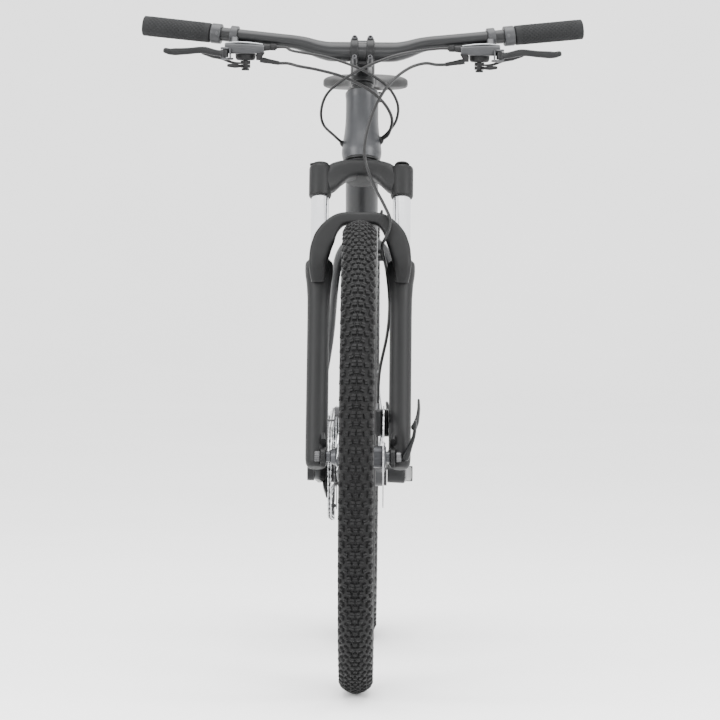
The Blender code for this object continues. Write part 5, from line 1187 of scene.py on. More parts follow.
post.append(block((0, py - 0.0195, pz - 0.0029), (0, py + 0.0195, pz - 0.0029), 0.0288, 0.0040,
                  power=5))
post.append(block((0, py - 0.0135, pz + 0.004), (0, py + 0.0135, pz + 0.004), 0.0148, 0.0068,
                  power=5))
post.append(block((0, py - 0.0135, pz + 0.0105), (0, py + 0.0135, pz + 0.0105), 0.0288, 0.0016,
                  power=5))
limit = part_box("seatpost")
print("seatpost box:", [tuple(round(float(c), 4) for c in corner) for corner in limit])
made = piece("seatpost_tube", post, bar_finish, "seatpost", "seatpost", 35)

# %% [markdown]
# ## Handlebar, stem and controls
# The bar rises and sweeps back from a thick middle to slim ends. It is one round
# section carried along a smooth line, growing at the clamp. The stem grips it
# between its own rear half and a plate of two straps with four bolts.

# %% Bar and stem
RISE = math.radians(7.0)
STEM_WAY = -BACK * math.cos(RISE) + UP * math.sin(RISE)
STEM_UP = UP * math.cos(RISE) + BACK * math.sin(RISE)
BAR_MID = CROWN + UP * 0.155 + STEM_WAY * 0.070
BEND = vec(110, 2, 15)
BAR_WAY = norm(vec(355, 45, 41) - BEND)


def bar_at(x):
    """A point on the bar's straight left end, from the bar's middle; x in millimetres."""
    return BEND + BAR_WAY * ((x / 1000 - BEND[0]) / BAR_WAY[0])


half = [((0, 0, 0), 15.9), ((44, 0, 0), 15.9), ((58, 0.2, 1.2), 15.2), ((74, 0.7, 5.2), 13.8),
        ((92, 1.3, 11.2), 12.2), ((110, 2, 15), 11.1)]
half = [(np.array(p) / 1000, r) for p, r in half] + [(bar_at(x), 11.1) for x in (130, 200, 280,
                                                                                 352)]
whole = [(p * (-1, 1, 1), r) for p, r in reversed(half[1:])] + half
knots = np.array([(*(p + BAR_MID), r / 1000) for p, r in whole])
line = curve(knots, 240)
bar = carry(line[:, :3], line[:, 3], line[:, 3], up=(0, 0, 1), sides=48)
bar_piece = piece("handlebar_tube", bar, bar_finish, "steering", "handlebar", 60)
stem_parts = [turn(rounded(np.array([(0, 135.2), (18.6, 135.2), (19.5, 136.6), (19.5, 173.4),
                                     (18.6, 174.8),
                                     (0, 174.8)]) / 1000, 0.0008), CROWN, UP, 64)]
stem_parts.append(carry(curve([CROWN + UP * 0.155, CROWN + UP * 0.155 + STEM_WAY * 0.035,
                               BAR_MID - STEM_WAY * 0.012], 16), [0.0170, 0.0135, 0.0165],
                        [0.0168, 0.0140, 0.0150], up=STEM_UP, power=3.0, sides=40))


def arc_strap(x0, x1, inner, outer, start, stop):
    """Part of a ring round the bar: a squarish section carried from one angle to another."""
    a = np.radians(np.linspace(start, stop, 40))
    r = (inner + outer) / 2000
    line = BAR_MID + r * (np.cos(a)[:, None] * STEM_WAY + np.sin(a)[:, None] * STEM_UP) \
        + SIDE * (x0 + x1) / 2000
    up = np.cos(a)[:, None] * STEM_WAY + np.sin(a)[:, None] * STEM_UP
    return carry(line, abs(x1 - x0) / 2000, (outer - inner) / 2000, up=up, power=5, sides=24)


stem_parts.append(arc_strap(-19.8, 19.8, 16.3, 21.4, 92, 268))
for x in (-12.5, 12.5):
    for z in (-17.8, 17.8):
        foot = BAR_MID + (SIDE * x + STEM_UP * z) / 1000
        stem_parts.append(rod(foot - STEM_WAY * 0.010, foot - STEM_WAY * 0.0005, 0.0050, 0.0056))
for z in (-0.012, 0.012):
    at = CROWN + UP * (0.155 + z) + BACK * 0.0185
    stem_parts.append(rod(at - SIDE * 0.009, at + SIDE * 0.009, 0.0046, steps=28))
piece("stem_body", stem_parts, black_alloy, "steering", "stem", 32)
plate_parts = [arc_strap(x - 6.2, x + 6.2, 16.3, 21.0, -84, 84) for x in (-12.8, 12.8)]
bolts = []
for x in (-12.5, 12.5):
    for z in (-17.8, 17.8):
        foot = BAR_MID + (SIDE * x + STEM_UP * z) / 1000
        plate_parts.append(rod(foot + STEM_WAY * 0.0006, foot + STEM_WAY * 0.0120, 0.0056, 0.0052))
        profile = np.array([(0, 11.6), (4.9, 11.6), (4.7, 13.6), (3.7, 16.8), (2.1, 17.2),
                            (1.9, 14.2),
                            (0, 14.2)]) / 1000
        bolts.append(turn(rounded(profile, 0.0003), foot, STEM_WAY, 36))
bridge = [block(BAR_MID + STEM_WAY * 0.0172 + STEM_UP * z - SIDE * 0.009,
                BAR_MID + STEM_WAY * 0.0172 + STEM_UP * z + SIDE * 0.009, 0.0022, 0.0016,
                up=STEM_UP, power=4) for z in (-0.0135, 0.0135)]
piece("faceplate_straps", plate_parts, black_alloy, "steering", "stem_faceplate", 32)
piece("stem_bolts", bolts, steel, "steering")
cap_low, cap_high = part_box("top_cap")
cap_parts = [turn(rounded(np.array([(0, 175.2), (17.2, 175.2), (17.4, 176), (17.2, 177.6),
                                    (15.4, 179.6),
                                    (5.2, 179.6), (5.0, 178.6), (0, 178.6)]) / 1000, 0.0005),
                                    CROWN, UP, 64)]
piece("headset_cap", cap_parts, black_alloy, "steering", "top_cap", 30)
print("bar, stem and faceplate made; top cap height", round(float(cap_high[2] - cap_low[2]), 4))

# %% [markdown]
# A grip is a moulded rubber sleeve. Its pattern is part of its shape: the radius
# rises and falls in small diamonds between two plain bands, with a lock ring at its
# inner end and a closed outer end. A grid of points finer than the diamonds shows
# them as real relief.


# %% Grips
def grip(side):
    """Radius at share t along and angle a: the plain radius less a little where two
    crossing helical waves both fall, so that diamonds stand up between grooves."""
    t = np.linspace(0, 1, 210)[:, None]
    a = np.linspace(0, 2 * np.pi, 96, endpoint=False)[None]
    start, stop = 243.5, 354.0
    long = t * (stop - start)
    waves = np.maximum(np.cos(a * 16 + long * 0.9), np.cos(a * 16 - long * 0.9))
    inside = np.clip((t - 0.07) / 0.02, 0, 1) * np.clip((0.93 - t) / 0.02, 0, 1)
    r = 15.75 + 0.30 * t + inside * (0.45 * np.clip(waves * 2.2 - 1.0, -1, 1) - 0.25)
    r = np.where(t > 0.985, r - 1.6 * ((t - 0.985) / 0.015) ** 2, r)
    r = np.where(t < 0.012, r - 0.8 * (1 - t / 0.012), r) / 1000
    across = norm(np.cross(BAR_WAY, (0, 0, 1.0)))
    lift = np.cross(across, BAR_WAY)
    line = bar_at(start) + BAR_WAY * (long[..., None] / 1000)
    grid = line + r[..., None] * (np.cos(a)[..., None] * across + np.sin(a)[..., None] * lift)
    first = np.repeat((bar_at(start))[None, None], 96, 1)
    last = np.repeat((bar_at(stop) + BAR_WAY * 0.0006)[None, None], 96, 1)
    grid = (np.concatenate([first, grid, last]) + BAR_MID) * (side, 1, 1)
    return grid.reshape(-1, 3), grid_faces(len(grid), 96)


def mirrored(parts, side):
    """The same shapes on the right when side is -1."""
    parts = parts if isinstance(parts, list) else [parts]
    return [(p * (side, 1, 1), q) for p, q in parts]


for side, name in ((1, "left"), (-1, "right")):
    piece("grip_sleeve_" + name, grip(side), grip_rubber, "steering", "grip_" + name, 60)
    low = BAR_MID + bar_at(225.6)
    collar = turn(rounded(np.array([(0, 0), (15.2, 0), (16.1, 1.0), (16.1, 15.6), (15.4, 16.6),
                                    (0, 16.6)])
                          / 1000, 0.0006), low, BAR_WAY, 64)
    screw = rod(low + BAR_WAY * 0.008 - vec(0, 15.2, 0), low + BAR_WAY * 0.008 - vec(0, 17.0, 0),
                0.0026, steps=20)
    piece("grip_lock_" + name, mirrored([collar, screw], side), cover_grey, "steering")
print("grips made")

# %% [markdown]
# Each control unit holds a brake cylinder in line with the bar and a shifter pod
# below it. The cylinder's body and the pod are smooth lofted shells. A thin bright
# metal strip along the top is a painted highlight. The levers are flattened sections
# carried along their curves.

# %% Control units and levers
UNIT = bar_at(205) * 1000
PIVOT = UNIT + (15.0, -36.0, -30.0)
POD = UNIT + (-18.0, -9.0, -29.0)


def at_bar(point):
    """A point given in millimetres from the bar's middle."""
    return BAR_MID + np.asarray(point) / 1000


def around(base, offsets):
    """Several places given from one base point."""
    return [at_bar(base + np.array(o, float)) for o in offsets]


def unit_shell():
    """Clamp ring, cylinder, lugs and pod of one unit."""
    way = BAR_WAY
    ring = turn(rounded(np.array([(11.4, -6), (15.0, -6), (15.5, -5.2), (15.5, 5.2), (15.0, 6),
                                  (11.4, 6),
                                  (11.4, -6)]) / 1000, 0.0003), at_bar(UNIT), way, 56)
    neck = carry(around(UNIT, [(-0.5, -10, -6), (-0.5, -15, -12), (-1, -22, -18)]),
                 [0.0066, 0.0066, 0.0072],
                 [0.006, 0.0065, 0.0070], up=SIDE, power=3, sides=28)
    cylinder = curve(around(UNIT, [(-48, -31, -22), (-34, -30.5, -21.8), (-10, -28, -21.2),
                                   (14, -25.5, -21)]), 30)
    barrel = carry(cylinder, [0.0062, 0.0078, 0.0086, 0.0091, 0.0092, 0.0088],
                   [0.0060, 0.0076, 0.0086, 0.0090, 0.0092, 0.0086], power=2.5, sides=40,
                   ends="flat")
    lugs = [carry(around(PIVOT, [(-9, 11, s * 8.2), (-3, 4, s * 8.3), (0, 0, s * 8.3),
                                 (3.4, -3.4, s * 8.3)]),
                  [0.0072, 0.0076, 0.0070, 0.0040], 0.0019, up=(0, 0, 1), power=3.2,
                  sides=28) for s in (-1, 1)]
    lugs.append(carry(around(PIVOT, [(-9.6, 12, 0), (-9.2, 3, 0), (-9.0, -5, 0)]), 0.0010,
                      [0.0085, 0.0095, 0.0085], up=(0, 0, 1), power=3, sides=24))
    pin = rod(at_bar(PIVOT + (0, 0, -10.2)), at_bar(PIVOT + (0, 0, 10.2)), 0.0026, steps=24)
    return [ring, neck, barrel] + lugs + [pin]


def pod_shell():
    """The shifter's rounded pod with its spindle and cable barrel."""
    top, low = at_bar(POD + (0, 0, 11.8)), at_bar(POD + (0, 0, -10.8))
    body = turn(rounded(np.array([(0, 0), (13.2, 0), (15.6, 2.4), (16.3, 7.0), (16.3, 15.5),
                                  (15.0, 20.5),
                                  (11.0, 22.5), (0, 22.6)]) / 1000, 0.0020), low, (0, 0, 1), 64)
    spindle = rod(at_bar(POD + (0, 0, -24)), low, 0.0038, steps=24)
    head = rod(at_bar(POD + (0, 0, -27)), at_bar(POD + (0, 0, -23.4)), 0.0063, steps=32,
               bevel=0.0008)
    link = carry(around(UNIT, [(-40, -28.5, -20.6), (-48, -30, -19.8), (-58, -30.6, -19.3)]),
                 [0.0064, 0.0058, 0.0050], [0.0064, 0.0058, 0.0050], sides=24)
    return [body, spindle, head, link]


for side, name in ((1, "left"), (-1, "right")):
    node = "lever_body_" + name
    piece("control_body_" + name, mirrored(unit_shell(), side), cover_grey, "steering",
                  node, 35)
    piece("shifter_pod_" + name, mirrored(pod_shell(), side), black_plastic, "steering")
    # A thin bright strip along the cylinder's top, standing in for a highlight: painted highlight.
    highlight_strip = carry(curve(around(UNIT, [(-46, -31.5, -14.8), (-28, -30.5, -12.6), (-6, -28.5, -11.4),
                                      (12, -26.5, -12.6)]), 24),
                  [0.0030, 0.0056, 0.0062, 0.0044], [0.0009, 0.0013, 0.0013, 0.0009], power=3,
                  sides=28,
                  ends="flat")
    piece("control_cover_" + name, mirrored(highlight_strip, side), bright_cover, "steering")
    adjuster = disc(lambda a: 0.0050 + 0.0003 * np.cos(a * 14), 0.0, 0.0088,
                    at_bar(UNIT + (-62.5, -30.6, -19.2)), SIDE, 112, 0.0006)
    tip = rod(at_bar(UNIT + (-69, -31, -19)), at_bar(UNIT + (-65, -30.8, -19.1)), 0.0033, 0.0042,
              steps=24)
    boot = turn(rounded(np.array([(0, 0), (4.4, 0), (4.5, 8), (3.9, 12), (4.0, 13), (3.5, 19),
                                  (3.6, 20),
                                  (3.2, 30.9), (0, 30.9)]) / 1000, 0.0005),
                                  at_bar(UNIT + (-42, -24, -39)),
                norm(np.array((-31.0, -2.0, -5.5))), 32)
    elbow = carry(around(UNIT, [(-44, -28, -26), (-40, -25.5, -33), (-40, -24, -39)]),
                  [0.0056, 0.0056, 0.0048],
                  [0.0056, 0.0054, 0.0048], up=SIDE, power=3, sides=28)
    piece("hose_fittings_" + name, mirrored([adjuster, tip, boot, elbow], side),
                  black_plastic,
                  "steering")
    blade = curve(around(PIVOT, [(-1, 0, 0), (2, -1, 0), (14, -5, 1), (34, -7, 5), (60, -5, 3),
                                 (84, -5, 2), (94, -7.8, 3.9)]), 44)
    parts = [carry(blade, [0.0044, 0.0040, 0.0034, 0.0034, 0.0036, 0.0040, 0.0034],
                   [0.0048, 0.0050, 0.0056, 0.0052, 0.0054, 0.0058, 0.0044], power=3.0, sides=32,
                   ends="round"),
             turn(rounded(np.array([(2.7, -5.9), (6.2, -5.9), (6.5, -5.2), (6.5, 5.2), (6.2, 5.9),
                                    (2.7, 5.9),
                                    (2.7, -5.9)]) / 1000, 0.0003), at_bar(PIVOT), (0, 0, 1), 40)]
    piece("brake_blade_" + name, mirrored(parts, side), black_alloy, "brake_lever_" + name,
                  "brake_lever_" + name, 40)
    low = [(4, 1, -15.5), (22, 8, -14), (44, 13, -5), (68, 11, 2)]
    paddle = [carry(curve(around(POD, low), 30), [0.0026, 0.0028, 0.0042, 0.0060, 0.0046],
                    [0.0014, 0.0020, 0.0024, 0.0052, 0.0040], power=2.8, sides=28, ends="round"),
              turn(np.array([(4.6, -16.9), (7.9, -16.9), (7.9, -11.5), (4.6, -11.5),
                             (4.6, -16.9)]) / 1000,
                   at_bar(POD), (0, 0, 1), 40)]
    piece("thumb_lever_" + name, mirrored(paddle, side), black_plastic,
                  "thumb_paddle_" + name,
                  "thumb_paddle_" + name, 40)
    up_ = [(3, -4, -20.2), (12, -18, -20.5), (26, -26, -20)]
    trigger = [carry(curve(around(POD, up_), 22), [0.0022, 0.0026, 0.0038, 0.0030],
                     [0.0018, 0.0022, 0.0034, 0.0026], power=2.8, sides=28, ends="round"),
               turn(np.array([(4.6, -22.7), (7.9, -22.7), (7.9, -17.5), (4.6, -17.5),
                              (4.6, -22.7)]) / 1000,
                    at_bar(POD), (0, 0, 1), 40)]
    piece("finger_trigger_" + name, mirrored(trigger, side), black_plastic,
                  "release_trigger_" + name,
                  "release_trigger_" + name, 40)
print("controls made")

# %% [markdown]
# ## Hoses and cables
# Hydraulic hoses and cable housings run from the controls to the frame and the fork.
# Each follows a smooth line from its fitting to its port.

# %% Hoses and cables
RELIEF = UNIT + (-73, -26, -44.5)
BARREL = UNIT + (-69, -31, -19)
by_ = BAR_MID[1] * 1000


def route(side, outlet, points, end=None, way=None):
    """A line from a control's fitting, through its points, to a port it enters straight."""
    start = at_bar(outlet) * (side, 1, 1)
    lead = norm(np.array((-side, -0.05, -0.02)))
    places = [start - lead * 0.002, start + lead * 0.0007,
              start + lead * 0.014] + millimetres(points)
    if end is not None:
        places += [end + way * 0.016, end + way * 0.0006, end - way * 0.002]
    return places


RIGHT_PORT = PORT_WAY
LEFT_PORT = PORT_WAY * (-1, 1, 1)
y = by_
rear_brake = route(-1, RELIEF, [(-101, y - 16, 983), (-69, y - 22, 977), (-29, y - 26, 966),
                                (11, y - 28, 946),
                                (36, y - 24, 924), (48, y - 12, 900)], PORT_A, RIGHT_PORT)
rear_shift = route(-1, BARREL, [(-110, y - 20, 1007), (-60, y - 33, 998), (-18, y - 38, 985),
                                (14, y - 38, 970),
                                (42, y - 30, 950), (57, y - 8, 924), (55, y + 14, 899)], PORT_B,
                                RIGHT_PORT)
front_shift = route(1, BARREL, [(92, y - 24, 1009), (59, y - 42, 1002), (27, y - 50, 991),
                                (-2, y - 52, 978),
                                (-32, y - 46, 960), (-56, y - 32, 938), (-65, y - 12, 912),
                                (-61, y + 6, 890)],
                    PORT_C, LEFT_PORT)
end = (FRONT_AXLE + SIDE * (FRONT_ROTOR - 0.0095)) * 1000 + (0, 78.0, 81.4)
front_brake = route(1, RELIEF, [(99, y - 20, 989), (75, y - 32, 981), (50, y - 50, 962),
                                (33, y - 60, 940),
                                (19, y - 66, 912), (9, y - 68, 880), (5, y - 69, 851),
                                (8, y - 70, 826),
                                (20, y - 79, 795), (37, y - 91, 763), (46.5, y - 101, 742),
                                (46, y - 108, 727),
                                (42, y - 111.5, 715), (35.5, y - 111, 702), (35.0, y - 97, 690),
                                (38, y - 82, 677),
                                (42.5, y - 66, 655), (47, y - 84, 608), (44, y - 98, 560),
                                (33, y - 118, 505),
                                (end[0], end[1], end[2] + 16), tuple(end),
                                (end[0], end[1], end[2] - 2)])
for name, places, r, count, other, start, stop in (
        ("rear_brake_hose", rear_brake, 0.0025, 150, "frame", (0, 0, 0.965), (0, 0, 0.885)),
        ("rear_shift_cable", rear_shift, 0.0022, 150, "frame", (0, 0, 0.970), (0, 0, 0.890)),
        ("front_shift_cable", front_shift, 0.0022, 150, "frame", (0, 0, 0.970), (0, 0, 0.880)),
        ("front_brake_hose", front_brake, 0.0025, 300, "fork_lowers", (0, 0, 0.860),
         (0, 0, 0.690))):
    made = piece(name + "_skin", hose(curve(places, count), r, 14), cable_skin, "steering", name,
                 60,
                 blend=("frame", "steering", stop, start) if other == "frame" else
                 ("steering", "fork_lowers", start, stop))
tail = millimetres([TAIL_BRAKE * 1000, TAIL_BRAKE * 1000 + (-5, 14, 7),
                    (REAR_ROTOR * 1000 - 9.5, ry - 88, rz + 44),
                    (REAR_ROTOR * 1000 - 9.5, ry - 64, rz + 38),
                    (REAR_ROTOR * 1000 - 9.5, ry - 60, rz + 22)])
piece("rear_brake_hose_end", hose(curve(tail, 70), 0.0025, 14), cable_skin, "frame",
              "rear_brake_hose_tail", 60)
base = TAIL_SHIFT * 1000
tail = millimetres([base, base + (-8, 26, 2), base + (-14, 70, -4), base + (-14.5, 112, -14),
                    base + (-11, 142, -36),
                    (-84.0, ry + 36, rz - 62), (-82.0, ry + 17, rz - 49.0)])
piece("rear_shift_cable_end", hose(curve(tail, 90), 0.0022, 14), cable_skin, "frame",
              "rear_shift_cable_tail", 60)
print("hoses and cables made")

# %% [markdown]
# ## Drivetrain
# Sprockets are flat discs whose edge rises into teeth, so one helper makes them all:
# a ring whose outer radius is a wave with as many crests as teeth. The chain follows
# the tangents between its four sprockets, and each link is placed along that line.

# %% Sprocket sizes and the chain's line
LINK = 12.7
CHAIN_X = -52.4
GUIDE = REAR_AXLE + vec(0, 10, -68)
TENSION = REAR_AXLE + vec(0, -8, -140)


def pitch_r(count):
    """Radius of the circle on which a sprocket's rollers sit, in millimetres."""
    return LINK / (2 * math.sin(math.pi / count))


def chain_line():
    """Closed line of tangents and arcs: between two circles the shared tangent leaves each
    where the radius is square to it, and round each circle the line is an arc."""
    wheels = [(BB, pitch_r(36), 1), (REAR_AXLE, pitch_r(15), 1), (GUIDE, pitch_r(11), -1),
              (TENSION, pitch_r(11), 1)]
    flat = [(c[1:] * 1000, r, s) for c, r, s in wheels]
    leave, arrive = [], []
    for i in range(4):
        (c0, r0, s0), (c1, r1, s1) = flat[i], flat[(i + 1) % 4]
        gap = c1 - c0
        size = np.linalg.norm(gap)
        k = (s0 * r0 - s1 * r1) / size
        unit = gap / size
        left = np.array((-unit[1], unit[0]))
        normal = unit * k + left * math.sqrt(1 - k * k)
        leave.append(math.atan2(normal[1] * s0, normal[0] * s0))
        arrive.append(math.atan2(normal[1] * s1, normal[0] * s1))
    points = []
    for i in range(4):
        centre, r, s = flat[i]
        start, stop = arrive[i - 1], leave[i]
        sweep = (start - stop) % (2 * np.pi) if s > 0 else -((stop - start) % (2 * np.pi))
        a = start - sweep * np.linspace(0, 1, 60)
        points.append(centre + r * np.stack([np.cos(a), np.sin(a)], -1))
    line = np.vstack(points + [points[0][:1]])
    far = np.concatenate([[0], np.cumsum(np.linalg.norm(np.diff(line, axis=0), axis=1))])
    return line, far


line, far = chain_line()
LINKS = int(round(far[-1] / LINK / 2)) * 2
goal = np.linspace(0, far[-1], LINKS + 1)
pins = np.stack([np.interp(goal, far, line[:, k]) for k in (0, 1)], -1) / 1000
print("chain:", LINKS, "links,", round(far[-1], 1), "mm")


# %% Chain
def link_plate(x, wide):
    """One side plate: two round ends and a waist, as a ring of 14 points with two faces."""
    a = np.linspace(0, 2 * np.pi, 14, endpoint=False)
    u = LINK / 2000 * np.sign(np.cos(a)) * (np.abs(np.cos(a)) > 0.2) + 0.0041 * np.cos(a)
    v = 0.0041 * np.sin(a) * (1 - 0.22 * np.exp(-(np.cos(a) / 0.3) ** 2))
    rings = [(0.0, x - wide / 2), (1.0, x - wide / 2), (1.0, x + wide / 2), (0.0, x + wide / 2)]
    return np.stack([np.stack([np.full_like(u, z), u * k, v * k], -1) for k,
                     z in rings]).reshape(-1, 3), \
        grid_faces(4, 14)


def chain_links(which):
    """Copies of a link's plates and rollers between each pair of pins."""
    parts = []
    a, b = pins[:-1], pins[1:]
    mid, way = (a + b) / 2, (b - a) / np.linalg.norm(b - a, axis=1)[:, None]
    for odd in (0, 1):
        pick = np.arange(LINKS) % 2 == odd
        for x in ((-0.0026, 0.0026) if odd else (-0.0018, 0.0018)):
            local, quads = link_plate(x, 0.00075)
            m, w = mid[pick], way[pick]
            y = m[:, None, 0] + local[None, :, 1] * w[:, None, 0] - local[None, :, 2] * w[:, None,
                                                                                          1]
            z = m[:, None, 1] + local[None, :, 1] * w[:, None, 1] + local[None, :, 2] * w[:, None,
                                                                                          0]
            xx = np.broadcast_to(local[None, :, 0] + CHAIN_X / 1000, y.shape)
            step = np.arange(pick.sum())[:, None, None] * len(local)
            if which == "plates":
                parts.append((np.stack([xx, y, z], -1).reshape(-1, 3),
                              (quads[None] + step).reshape(-1, 4)))
    if which == "rollers":
        ring = np.array([(0, -3.1), (1.7, -3.1), (1.7, -1.5), (3.5, -1.5), (3.5, 1.5), (1.7, 1.5),
                         (1.7, 3.1),
                         (0, 3.1)]) / 1000
        for p in pins[:-1]:
            parts.append(turn(ring, (CHAIN_X / 1000, p[0], p[1]), SIDE, 10))
    return parts


plates = piece("chain_plates", chain_links("plates"), silver, "frame", "chain", 30)
rollers = piece("chain_rollers", chain_links("rollers"), steel, "frame", (), 30)

# %% [markdown]
# The crank arms are forged: deep and narrow, tapering from the spindle to the pedal
# eye. A spider of four arms carries the chainrings. The cassette is a stack of
# sprockets with windows cut away, closed by a lock ring.

# %% Cranks and chainrings
tilt = math.radians(3.0)
CRANK_END = {s: BB + vec(s * 82, s * 170 * math.cos(tilt), -s * 170 * math.sin(tilt)) for s in (-1,
                                                                                                1)}
for s, name in ((-1, "right"), (1, "left")):
    root, tip = BB + SIDE * s * 0.066, CRANK_END[s]
    way = norm(tip - root)
    line = curve([root, root + (tip - root) * 0.15 + SIDE * s * 0.0012, root + (tip - root) * 0.5,
                  root + (tip - root) * 0.94], 40)
    arm = carry(line, [0.0100, 0.0088, 0.0074, 0.0066, 0.0062, 0.0060],
                [0.0165, 0.0150, 0.0125, 0.0112, 0.0112, 0.0122], up=np.cross(SIDE, way),
                power=3.2, sides=44)
    eye = turn(rounded(np.array([(6.95, -5.9), (12.6, -5.9), (13.4, -4.8), (13.4, 4.8),
                                 (12.6, 5.9), (6.95, 5.9),
                                 (6.95, -5.9)]) / 1000, 0.0006), tip, SIDE, 56)
    inner = s * (36.5 + 0.3 + 7 + 0.3 + 0.4)
    hub_end = turn(rounded(np.array([(0, 0), (15.2, 0), (15.6, 1), (16.8, 27.5), (15.8, 29.5),
                                     (0, 29.5)]) / 1000,
                           0.0008), BB + SIDE * inner / 1000, SIDE * s, 56)
    cap = turn(rounded(np.array([(0, 0), (10.4, 0), (10.2, 1.1), (4.2, 1.5), (4.0, 0.4),
                                 (0, 0.4)]) / 1000, 0.0003),
               BB + SIDE * s * 0.0741, SIDE * s, 48)
    parts = [arm, eye, hub_end, cap]
    if s < 0:
        for i in range(4):
            a = math.pi / 4 + i * math.pi / 2
            tip_ = BB + SIDE * (CHAIN_X - 4.4) / 1000 + 0.0525 * np.array((0, math.cos(a),
                                                                           math.sin(a)))
            foot = BB - SIDE * 0.0605 + 0.010 * np.array((0, math.cos(a), math.sin(a)))
            parts.append(carry(curve([foot, (foot + tip_) / 2 - SIDE * 0.0016, tip_], 14),
                               [0.0072, 0.0056, 0.0052], [0.0046, 0.0036, 0.0018],
                               up=SIDE, power=3.2, sides=24, ends="flat"))
    made = piece("crank_arm_" + name, parts, black_alloy, "cranks", "crank_" + name, 35)
big = disc(teeth(36, LINK / 1000), lambda a: 0.0485 - 0.0015 * np.cos(a * 4), 0.0022,
           BB + SIDE * CHAIN_X / 1000, SIDE, 576, 0.0004)
small = disc(teeth(22, LINK / 1000), lambda a: 0.0285 - 0.003 * np.cos(a * 4), 0.0022,
             BB - SIDE * 0.0448, SIDE, 352, 0.0004)
bolts = []
for i in range(4):
    a = math.pi / 4 + i * math.pi / 2
    ray = np.array((0, math.cos(a), math.sin(a)))
    bolts.append(rod(BB + ray * 0.0515 + SIDE * (CHAIN_X + 1.0) / 1000,
                     BB + ray * 0.0515 + SIDE * (CHAIN_X + 1.9) / 1000,
                     0.0042, steps=24))
    bolts.append(rod(BB + ray * 0.0305 - SIDE * 0.0447,
                     BB + ray * 0.0460 + SIDE * (CHAIN_X + 1.2) / 1000, 0.0034,
                     steps=20))
piece("toothed_rings", [big, small], steel, "cranks", "chainrings", 30)
piece("ring_bolts", bolts, silver, "cranks")


# %% Cassette and derailleurs
COGS = (11, 13, 15, 18, 21, 24, 28, 32)
cogs = []
for i, count in enumerate(COGS):
    at = REAR_AXLE + SIDE * (-62.0 + 4.8 * i) / 1000
    hole = (lambda a, r=pitch_r(count) / 1000: np.maximum(0.0176,
                                                          (r - 0.0125) * (0.86 + 0.14 * np.cos(a * 5) ** 2))) \
        if count >= 21 else 0.0176
    cogs.append(disc(teeth(count, LINK / 1000), hole, 0.0018, at, SIDE, count * 14, 0.0003))
core = turn(rounded(np.array([(17.5, -60.8), (20.2, -60.8), (20.2, -28.6), (17.5, -28.6),
                              (17.5, -60.8)]) / 1000,
                    0.0003), REAR_AXLE, SIDE, 64)
for k in range(5):
    a = 2 * np.pi * k / 5
    ray = np.array((0, math.cos(a), math.sin(a)))
    cogs.append(block(REAR_AXLE + ray * 0.036 - SIDE * 0.0465,
                      REAR_AXLE + ray * 0.036 - SIDE * 0.0290, 0.0032,
                      0.0020, up=ray, power=4, sides=20))
lock = turn(rounded(np.array([(17.4, 0), (17.4, 0.8), (19.0, 0.8), (19.0, -0.9),
                              (17.4, -0.9)]) / 1000, 0.0002),
            REAR_AXLE - SIDE * 0.0630, SIDE, 64)
piece("cassette_sprockets", cogs, silver, "cassette", "cassette", 30)
piece("cassette_core", [core, lock], steel, "cassette")
z_low, z_high = bz + pitch_r(36) + 4.6, bz + 92
cage_outline = [(-34, z_low + 2 - bz), (-6, z_low + 0.5 - bz), (22, z_low - bz + 0.5),
                (33.5, z_low + 4.5 - bz),
                (29.5, z_high - 4 - bz), (8, z_high - 0.8 - bz), (-17.5, z_high - 1 - bz)]
parts = [slab(cage_outline, 0.0015, BB + SIDE * x / 1000, np.array((0.0, 1, 0)),
              np.array((0.0, 0, 1)), 0.0003)
         for x in (CHAIN_X - 6.4, CHAIN_X + 7.0)]
parts.append(block(BB + SIDE * (CHAIN_X - 7.4) / 1000 + vec(0, 3, z_high - 3 - bz),
                   BB + SIDE * (CHAIN_X + 6.4) / 1000 + vec(0, 3, z_high - 3 - bz), 0.0086, 0.0018,
                   power=5))
parts.append(block(seat(CHAIN_X + 6.4, -18.4, 102), seat(-28.8, -18.4, 102), 0.0056, 0.0086,
                   up=SEAT_UP, power=4))
parts.append(block(seat(-38, -18.4, 112), seat(-28.8, -18.4, 112), 0.0056, 0.0082, up=SEAT_UP,
                   power=4))
piece("front_mech_cage", parts, steel, "front_derailleur", "front_derailleur", 30)
clamp = [turn(rounded(np.array([(17.9, 98.5), (20.5, 98.5), (20.9, 99.4), (20.9, 124.6),
                                (20.5, 125.5),
                                (17.9, 125.5), (17.9, 98.5)]) / 1000, 0.0004), BB, SEAT_UP, 64),
         block(seat(-31.4, -3, 112), seat(-18, -3, 112), 0.0086, 0.0104, up=SEAT_UP, power=4)]
piece("front_mech_clamp", clamp, black_alloy, "frame")
hang = REAR_AXLE + vec(0, 5, -37)
face = DROP_X + 3.25 + 0.4
rd = [turn(rounded(np.array([(0, 0), (10.2, 0), (10.9, 1.2), (10.9, 9.4), (9.6, 12.6),
                             (0, 13.2)]) / 1000, 0.001),
           hang - SIDE * face / 1000, -SIDE, 48)]
link_a, link_b = hang - SIDE * 0.084, GUIDE - SIDE * 0.0785
off = norm(np.cross(link_b - link_a, SIDE)) * 0.0036
for k in (-1, 1):
    rd.append(carry([link_a + off * k, (link_a + link_b) / 2 + off * k - SIDE * 0.001,
                     link_b + off * k],
                    [0.0030, 0.0026, 0.0030], [0.0062, 0.0052, 0.0056], up=SIDE, power=3.4,
                    sides=28, ends="round"))
rd.append(turn(rounded(np.array([(0, 0), (11.2, 0), (11.9, 1.2), (11.9, 14.5), (10.0, 21.0),
                                 (0, 22.2)]) / 1000,
                       0.001), GUIDE + SIDE * (CHAIN_X - 9.0) / 1000, -SIDE, 48))
piece("rear_mech_body", rd, black_alloy, "frame", "rear_derailleur", 35)
along = norm(TENSION - GUIDE)
